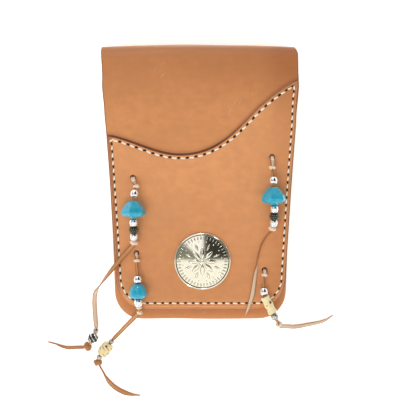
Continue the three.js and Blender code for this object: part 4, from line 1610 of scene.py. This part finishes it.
def at_mark(line, marks, mark):
    """Index of the line's point nearest to a place between two route points."""
    return min(len(line) - 1, round(along_route(marks, mark) / marks[-1] * (len(line) - 1)))


def axes_at(centre, along):
    """A bead's axes: X up, Y to its left and Z along the lace."""
    side = along.cross(Vector((0, 0, 1))).normalized()
    up = side.cross(along)
    axes = Matrix((up, side, along)).transposed().to_4x4()
    return Matrix.Translation(centre * MM) @ axes


class MEDICINEBAG_OT_laces(bpy.types.Operator):
    """Four deerskin laces, each out of its own hole, with stopper knots behind the flap"""

    bl_idname = "medicine_bag.laces"
    bl_label = "Laces"

    def execute(self, context):
        for place, lace in LACES.items():
            line, marks = lace_line(lace["route"])
            strip = lace_mesh("strip", line, marks, lace["looks"], 0.16)
            parts = [strip]
            for mark, size, side, across in lace["knots"]:
                tied = knot(size, 1 if side == "flesh" else 0)
                i = at_mark(line, marks, mark)
                along = (line[min(i + 1, len(line) - 1)] - line[i - 1]).normalized()
                squat = Matrix.Diagonal((0.86, 1.05, 0.7, 1) if side == "flesh" else (0.8, 0.95, 0.95, 1))
                tied.data.transform(axes_at(line[i] + Vector((across, 0, 0)), along) @ squat)
                parts.append(tied)
            stopper = knot(5.2, 1)
            x, y = lace["route"][0][:2]
            stopper.data.transform(
                Matrix.Translation(Vector((x, y, 35.3)) * MM) @ Matrix.Diagonal((1, 1, 0.42, 1))
            )
            parts.append(stopper)
            whole = join(f"{place}_deerskin_lace", parts)
            smooth(whole, 55)
            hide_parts(f"{place}_lace")
            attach(whole, "flap_body")
        return {"FINISHED"}


# ---- Beads ----


def silver_pattern(belly, end, length, finish):
    """A seamless hollow ball with a turned collar at each end of its bore."""
    half = length / 2
    profile = [(0.9, -half + 0.5), (end - 0.25, -half - 0.05), (end, -half + 0.05)]
    for i in range(1, 18):
        angle = math.pi * i / 18
        profile.append((end + (belly - end) * math.sin(angle), -half + length * (1 - math.cos(angle)) / 2))
    profile += [(end, half - 0.05), (end - 0.25, half + 0.05), (0.9, half - 0.5), (0.9, -half + 0.5)]
    return turned("silver", profile, 36, finish)


def stone_pattern(belly, top, foot, length, shoulder, sides):
    """A carved stone, faceted or rounded, and widest towards its foot."""
    half = length / 2
    # (share of the way from the top's radius to the belly's, share of the shoulder's height) down the face.
    if sides == 6:
        face = [(0.36, 0.28), (0.68, 0.55), (0.9, 0.8), (1, 1)]
    else:
        face = [(0.5, 0.2), (0.78, 0.46), (0.93, 0.74), (1, 1)]
    profile = [(1.3, -half + 0.4), (1.5, -half), (top - 0.4, -half), (top, -half + 0.3)]
    profile += [(top + (belly - top) * r, -half + length * shoulder * h) for r, h in face]
    profile += [
        (belly * 0.96, half - length * (1 - shoulder) * 0.72),
        (belly * 0.78, half - length * (1 - shoulder) * 0.36),
        (foot + 0.8, half - 0.4),
        (foot, half),
        (1.5, half),
        (1.3, half - 0.4),
        (1.3, -half + 0.4),
    ]
    stone = turned("stone", profile, sides, turquoise_stone())
    stone.data.transform(Matrix.Rotation(math.radians(15), 4, "Z"))
    if sides == 6:
        apply_modifier(
            stone, "BEVEL", width=1.05 * MM, segments=5, limit_method="ANGLE", angle_limit=math.radians(18)
        )
    else:
        apply_modifier(stone, "SUBSURF", levels=1, render_levels=1)
    return stone


def rondelle_pattern():
    """A blackened disc bead with two rows of soldered grains and a wire between them."""
    core = turned(
        "core",
        [
            (1.3, -2), (1.9, -2.05), (2.25, -1.5), (2.5, -0.7), (2.6, 0), (2.5, 0.7), (2.25, 1.5),
            (1.9, 2.05), (1.3, 2), (1.3, -2),
        ],
        24,
        oxidised_silver(),
    )
    parts = [core]
    tidy_selection()
    bpy.ops.mesh.primitive_ico_sphere_add(subdivisions=2, radius=0.46 * MM)
    grain = bpy.context.object
    grain.data.materials.append(plain_finish("Rubbed silver grain", "#55574c", "#a8aa9a", 0.3, 900, 1.0))
    for row, (z, radius, count) in enumerate(((-1.15, 2.42, 12), (0, 2.72, 14), (1.15, 2.42, 12))):
        for i in range(count):
            a = math.tau * (i + 0.5 * (row % 2)) / count
            spot = Vector((radius * math.cos(a), radius * math.sin(a), z)) * MM
            parts.append(copy_at(grain, "grain", Matrix.Translation(spot)))
    discard(grain)
    rondelle = join("rondelle", parts)
    rondelle.data.transform(Matrix.Diagonal((1.08, 1.08, 1, 1)))
    return rondelle


def melon_pattern():
    """A cast bead with twisted flutes, dark in the hollows, between two beaded collars."""
    profile = [(1.3, -2.7), (1.9, -2.9)]
    for i in range(1, 16):
        angle = math.pi * i / 16
        profile.append((1.8 + 1.6 * math.sin(angle), -2.7 * math.cos(angle)))
    profile += [(1.9, 2.9), (1.3, 2.7), (1.3, -2.7)]
    melon = turned("melon", profile, 48, oxidised_silver())
    for v in melon.data.vertices:
        p = v.co / MM
        radius = math.hypot(p.x, p.y)
        if radius > 1.95:
            around = math.atan2(p.y, p.x)
            flute = 1 + 0.085 * math.cos(5 * around + 2.3 * p.z)
            v.co.x *= flute
            v.co.y *= flute
    melon.data.materials.append(polished_silver())
    for face in melon.data.polygons:
        p = face.center / MM
        radius = math.hypot(p.x, p.y)
        bare = 1.8 + 1.6 * math.sqrt(max(0, 1 - (p.z / 2.7) ** 2))
        if radius > bare * 1.045 and radius > 2:
            face.material_index = 1
    return melon


def dots(surface, marks):
    """Burnt dots on a bead's face, at (angle, height, size)."""
    made = []
    for around, z, size in marks:
        tidy_selection()
        bpy.ops.mesh.primitive_uv_sphere_add(segments=12, ring_count=6, radius=size * MM)
        dot = bpy.context.object
        dot.data.materials.append(burnt_mark())
        radius = surface(z)
        place = Matrix.Rotation(math.radians(around), 4, "Z") @ Matrix.Translation((radius * MM, 0, z * MM))
        dot.data.transform(place @ Matrix.Diagonal((0.22, 1, 1, 1)))
        made.append(dot)
    return made


def barrel_pattern():
    """A bone barrel carved with slanting leaf cuts, stained a little, and burnt dots between them."""
    def radius(z):
        return 2.75 + 1.35 * math.sqrt(max(0, 1 - (z / 5.2) ** 2))

    profile = [(1.3, -4.6), (1.7, -4.9)]
    profile += [(radius(z), z) for z in spaced(-4.75, 4.75, 0.2)]
    profile += [(1.7, 4.9), (1.3, 4.6), (1.3, -4.6)]
    barrel = turned("barrel", profile, 72, carved_bone())
    barrel.data.materials.append(stained_cut())

    def cut(p):
        around = math.atan2(p.y, p.x)
        turns = (p.z + 1.55 * around) / 2.435
        near = abs(turns - round(turns)) * 2.435
        leaf = 0.5 + 0.5 * math.sin(2 * around - 1.1 * p.z)
        return max(0, 1 - near / 0.55) * leaf if math.hypot(p.x, p.y) > 2 and abs(p.z) < 3.6 else 0

    for v in barrel.data.vertices:
        p = v.co / MM
        out = Vector((p.x, p.y, 0)).normalized()
        v.co -= out * 0.3 * min(1, 1.5 * cut(p)) * MM
    for face in barrel.data.polygons:
        if cut(face.center / MM) > 0.35:
            face.material_index = 1
    marks = [(10, -2.7, 0.85), (-50, 0.4, 0.5), (130, 1.2, 0.5), (-140, -1.5, 0.5)]
    return join("barrel", [barrel, *dots(radius, marks)])


def tube_pattern():
    """A cut length of bird bone with burnt dots, its ends a little swollen."""
    def radius(z):
        return 2.75 + 0.28 * math.cos(z * 0.5) ** 2

    profile = [(1.3, -5.9), (2.1, -6.2)]
    profile += [(radius(z), z) for z in spaced(-6.1, 6.1, 0.5)]
    profile += [(2.1, 6.2), (1.3, 5.9), (1.3, -5.9)]
    tube = turned("tube", profile, 28, carved_bone())
    marks = [(-35, -1.4, 0.95), (28, -0.4, 0.42), (60, 2.2, 0.5), (150, 1.5, 0.8), (215, -2.4, 0.6)]
    return join("tube", [tube, *dots(radius, marks)])


BEAD_PATTERNS = {
    "silver": (lambda: silver_pattern(2.75, 1.6, 4.7, polished_silver()), "silver"),
    "small_silver": (lambda: silver_pattern(1.95, 1.3, 2.9, worn_silver()), "silver"),
    "mid_silver": (lambda: silver_pattern(2.6, 1.6, 4.3, worn_silver()), "silver"),
    "rondelle": (rondelle_pattern, "oxidised_silver"),
    "melon": (melon_pattern, "oxidised_silver"),
    "large_stone": (lambda: stone_pattern(8.4, 3.4, 2.3, 11.4, 0.68, 6), "turquoise"),
    "mid_stone": (lambda: stone_pattern(8.5, 3.5, 2.3, 11.6, 0.68, 6), "turquoise"),
    "small_stone": (lambda: stone_pattern(5.9, 2.9, 3.4, 9.6, 0.74, 24), "turquoise"),
    "bone_barrel": (barrel_pattern, "bone"),
    "bone_tube": (tube_pattern, "bone"),
}


class MEDICINEBAG_OT_beads(bpy.types.Operator):
    """Silver, turquoise, oxidised and bone beads, each on its own stretch of lace"""

    bl_idname = "medicine_bag.beads"
    bl_label = "Beads"

    def execute(self, context):
        patterns = {kind: make() for kind, (make, _) in BEAD_PATTERNS.items()}
        for place, beads in BEADS.items():
            route = LACES[place]["route"]
            for name, kind, at in beads:
                start, end = Vector(route[at]), Vector(route[at + 1])
                matrix = axes_at((start + end) / 2, (end - start).normalized())
                bead = copy_at(patterns[kind], f"{place}_{name}_piece", matrix)
                smooth(bead, 30 if "stone" in kind else 45)
                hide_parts(f"{place}_{name}")
                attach(bead, "flap_body")
        discard(*patterns.values())
        return {"FINISHED"}


# ---- Stage ----


class MEDICINEBAG_OT_stage(bpy.types.Operator):
    """The pale floor, the room's light and the camera"""

    bl_idname = "medicine_bag.stage"
    bl_label = "Stage"

    def execute(self, context):
        scene = context.scene
        scene.view_settings.view_transform = "Standard"
        tidy_selection()
        bpy.ops.mesh.primitive_plane_add(size=6)
        floor = bpy.context.object
        floor.name = "floor"
        floor.data.materials.append(lit_table())

        world = bpy.data.worlds.new("Room")
        scene.world = world
        world.use_nodes = True
        tree = world.node_tree
        tree.nodes.clear()
        look = add_node(tree, "TexCoord").outputs["Generated"]
        axis = add_node(tree, "SeparateXYZ", {0: look})
        steps = {}
        for name, socket, low, high in (
            ("right", "X", 0.0, 0.05),
            ("up", "Y", -0.02, 0.02),
            ("overhead", "Z", 0.42, 0.52),
        ):
            steps[name] = add_node(
                tree, "MapRange", {"Value": axis.outputs[socket], "From Min": low, "From Max": high}
            )
        upper = add_node(tree, "Math", {0: steps["up"], 1: steps["overhead"]}, operation="MULTIPLY")
        dark = add_node(tree, "Math", {0: upper, 1: steps["right"]}, operation="MULTIPLY")
        # The grey wedge to the left lies between level and 45 degrees.
        wedge = add_node(
            tree, "Math", {0: axis.outputs["X"], 1: 0.85, 2: axis.outputs["Y"]}, operation="MULTIPLY_ADD"
        )
        below = add_node(tree, "MapRange", {"Value": wedge, "From Min": 0.02, "From Max": -0.03})
        grey = add_node(tree, "Math", {0: upper, 1: below}, operation="MULTIPLY")
        warm = add_node(
            tree, "Mix", {"Factor": steps["up"], 6: linear("#fffdf6"), 7: (1, 1, 1, 1)}, data_type="RGBA"
        )
        room = add_node(tree, "Mix", {"Factor": grey, 6: warm, 7: linear("#7d7f72")}, data_type="RGBA")
        shade = add_node(tree, "Mix", {"Factor": dark, 6: room, 7: linear("#35332e")}, data_type="RGBA")
        strength = add_node(tree, "MapRange", {"Value": steps["overhead"], "To Min": 0.8, "To Max": 1.12})
        light = add_node(tree, "Background", {"Color": shade, "Strength": strength})
        add_node(tree, "OutputWorld", {"Surface": light})

        # The window lights the bag, and two small lamps only put glints on the stones and beads.
        for name, place, energy, size, glints in (
            ("window", (-0.24, -0.42, 1.0), 3.45, 0.55, False),
            ("far_lamp", (-0.04, 0.72, 0.42), 0.9, 0.11, True),
            ("near_lamp", (-0.35, -0.7, 0.4), 0.6, 0.1, True),
        ):
            tidy_selection()
            bpy.ops.object.light_add(type="AREA", location=place)
            light = bpy.context.object
            light.name = name
            light.data.energy = energy
            light.data.size = size
            light.data.color = (1.0, 0.98, 0.95)
            light.visible_glossy = glints
            light.visible_diffuse = not glints
            light.visible_camera = False
            light.rotation_euler = (Vector((0, 0, 0.02)) - light.location).to_track_quat("-Z", "Y").to_euler()

        tidy_selection()
        bpy.ops.object.camera_add(location=(0.0056, -0.0182, 0.791), rotation=(0, 0, 0))
        camera = bpy.context.object
        camera.data.sensor_width = 36
        camera.data.lens = 98.9
        camera.data.clip_start, camera.data.clip_end = 0.01, 20
        scene.camera = camera
        return {"FINISHED"}


# ---- Sizes, colours and the panel ----


class BagSizes(bpy.types.PropertyGroup):
    """Sizes that a maker would change."""

    lace_width: bpy.props.FloatProperty(
        name="Lace width",
        description="Width of the deerskin lace",
        default=0.0033,
        unit="LENGTH",
        precision=4,
    )
    stitch_pitch: bpy.props.FloatProperty(
        name="Stitch pitch",
        description="From one stitch to the next",
        default=0.005,
        unit="LENGTH",
        precision=4,
    )
    stitch_length: bpy.props.FloatProperty(
        name="Stitch length",
        description="Thread seen between two holes",
        default=0.0032,
        unit="LENGTH",
        precision=4,
    )
    stitch_inset: bpy.props.FloatProperty(
        name="Stitch inset",
        description="From the overlay's edge to its seam",
        default=0.0021,
        unit="LENGTH",
        precision=4,
    )


class BagColours(bpy.types.PropertyGroup):
    """Colours that a maker would change."""

    leather: bpy.props.FloatVectorProperty(
        name="Leather",
        description="The hide where it is lightest",
        subtype="COLOR",
        default=linear("#d8915c")[:3],
    )
    overlay: bpy.props.FloatVectorProperty(
        name="Overlay leather",
        description="The overlay where it is lightest",
        subtype="COLOR",
        default=linear("#e39c67")[:3],
    )
    # Colour of the painted shade towards the fold, at the right, at the foot and under the flap.
    leather_shade: bpy.props.FloatVectorProperty(
        name="Leather in painted shade",
        description="The hide towards the fold",
        subtype="COLOR",
        default=linear("#b06c3b")[:3],
    )
    turquoise: bpy.props.FloatVectorProperty(
        name="Turquoise",
        description="The stones where they are lightest",
        subtype="COLOR",
        default=linear("#3fc6e2")[:3],
    )
    bone: bpy.props.FloatVectorProperty(
        name="Bone",
        description="The bone beads where they are lightest",
        subtype="COLOR",
        default=linear("#fbf0cc")[:3],
    )


OPERATORS = [
    MEDICINEBAG_OT_stage,
    MEDICINEBAG_OT_beads,
    MEDICINEBAG_OT_laces,
    MEDICINEBAG_OT_hide,
    MEDICINEBAG_OT_overlay,
    MEDICINEBAG_OT_pouch,
    MEDICINEBAG_OT_belt_loop,
    MEDICINEBAG_OT_stitching,
    MEDICINEBAG_OT_concho,
    MEDICINEBAG_OT_snap,
]


class MEDICINEBAG_PT_panel(bpy.types.Panel):
    """Sizes, colours and pieces of the medicine bag"""

    bl_label = "Medicine Bag"
    bl_space_type = "VIEW_3D"
    bl_region_type = "UI"
    bl_category = "Medicine Bag"

    def draw(self, context):
        column = self.layout.column()
        for group in (context.scene.bag_sizes, context.scene.bag_colours):
            for name in group.bl_rna.properties.keys():
                if name not in ("rna_type", "name"):
                    column.prop(group, name)
        for operator in OPERATORS:
            column.operator(operator.bl_idname)


CLASSES = [BagSizes, BagColours, *OPERATORS, MEDICINEBAG_PT_panel]


def register():
    for made in CLASSES:
        bpy.utils.register_class(made)
    bpy.types.Scene.bag_sizes = bpy.props.PointerProperty(type=BagSizes)
    bpy.types.Scene.bag_colours = bpy.props.PointerProperty(type=BagColours)


def unregister():
    del bpy.types.Scene.bag_colours
    del bpy.types.Scene.bag_sizes
    for made in reversed(CLASSES):
        bpy.utils.unregister_class(made)


def main():
    register()
    bpy.ops.medicine_bag.stage()
    bpy.ops.medicine_bag.beads()
    bpy.ops.medicine_bag.laces()
    bpy.ops.medicine_bag.hide()
    bpy.ops.medicine_bag.overlay()
    bpy.ops.medicine_bag.pouch()
    bpy.ops.medicine_bag.belt_loop()
    bpy.ops.medicine_bag.stitching()
    bpy.ops.medicine_bag.concho()
    bpy.ops.medicine_bag.snap()


if __name__ == "__main__":
    main()
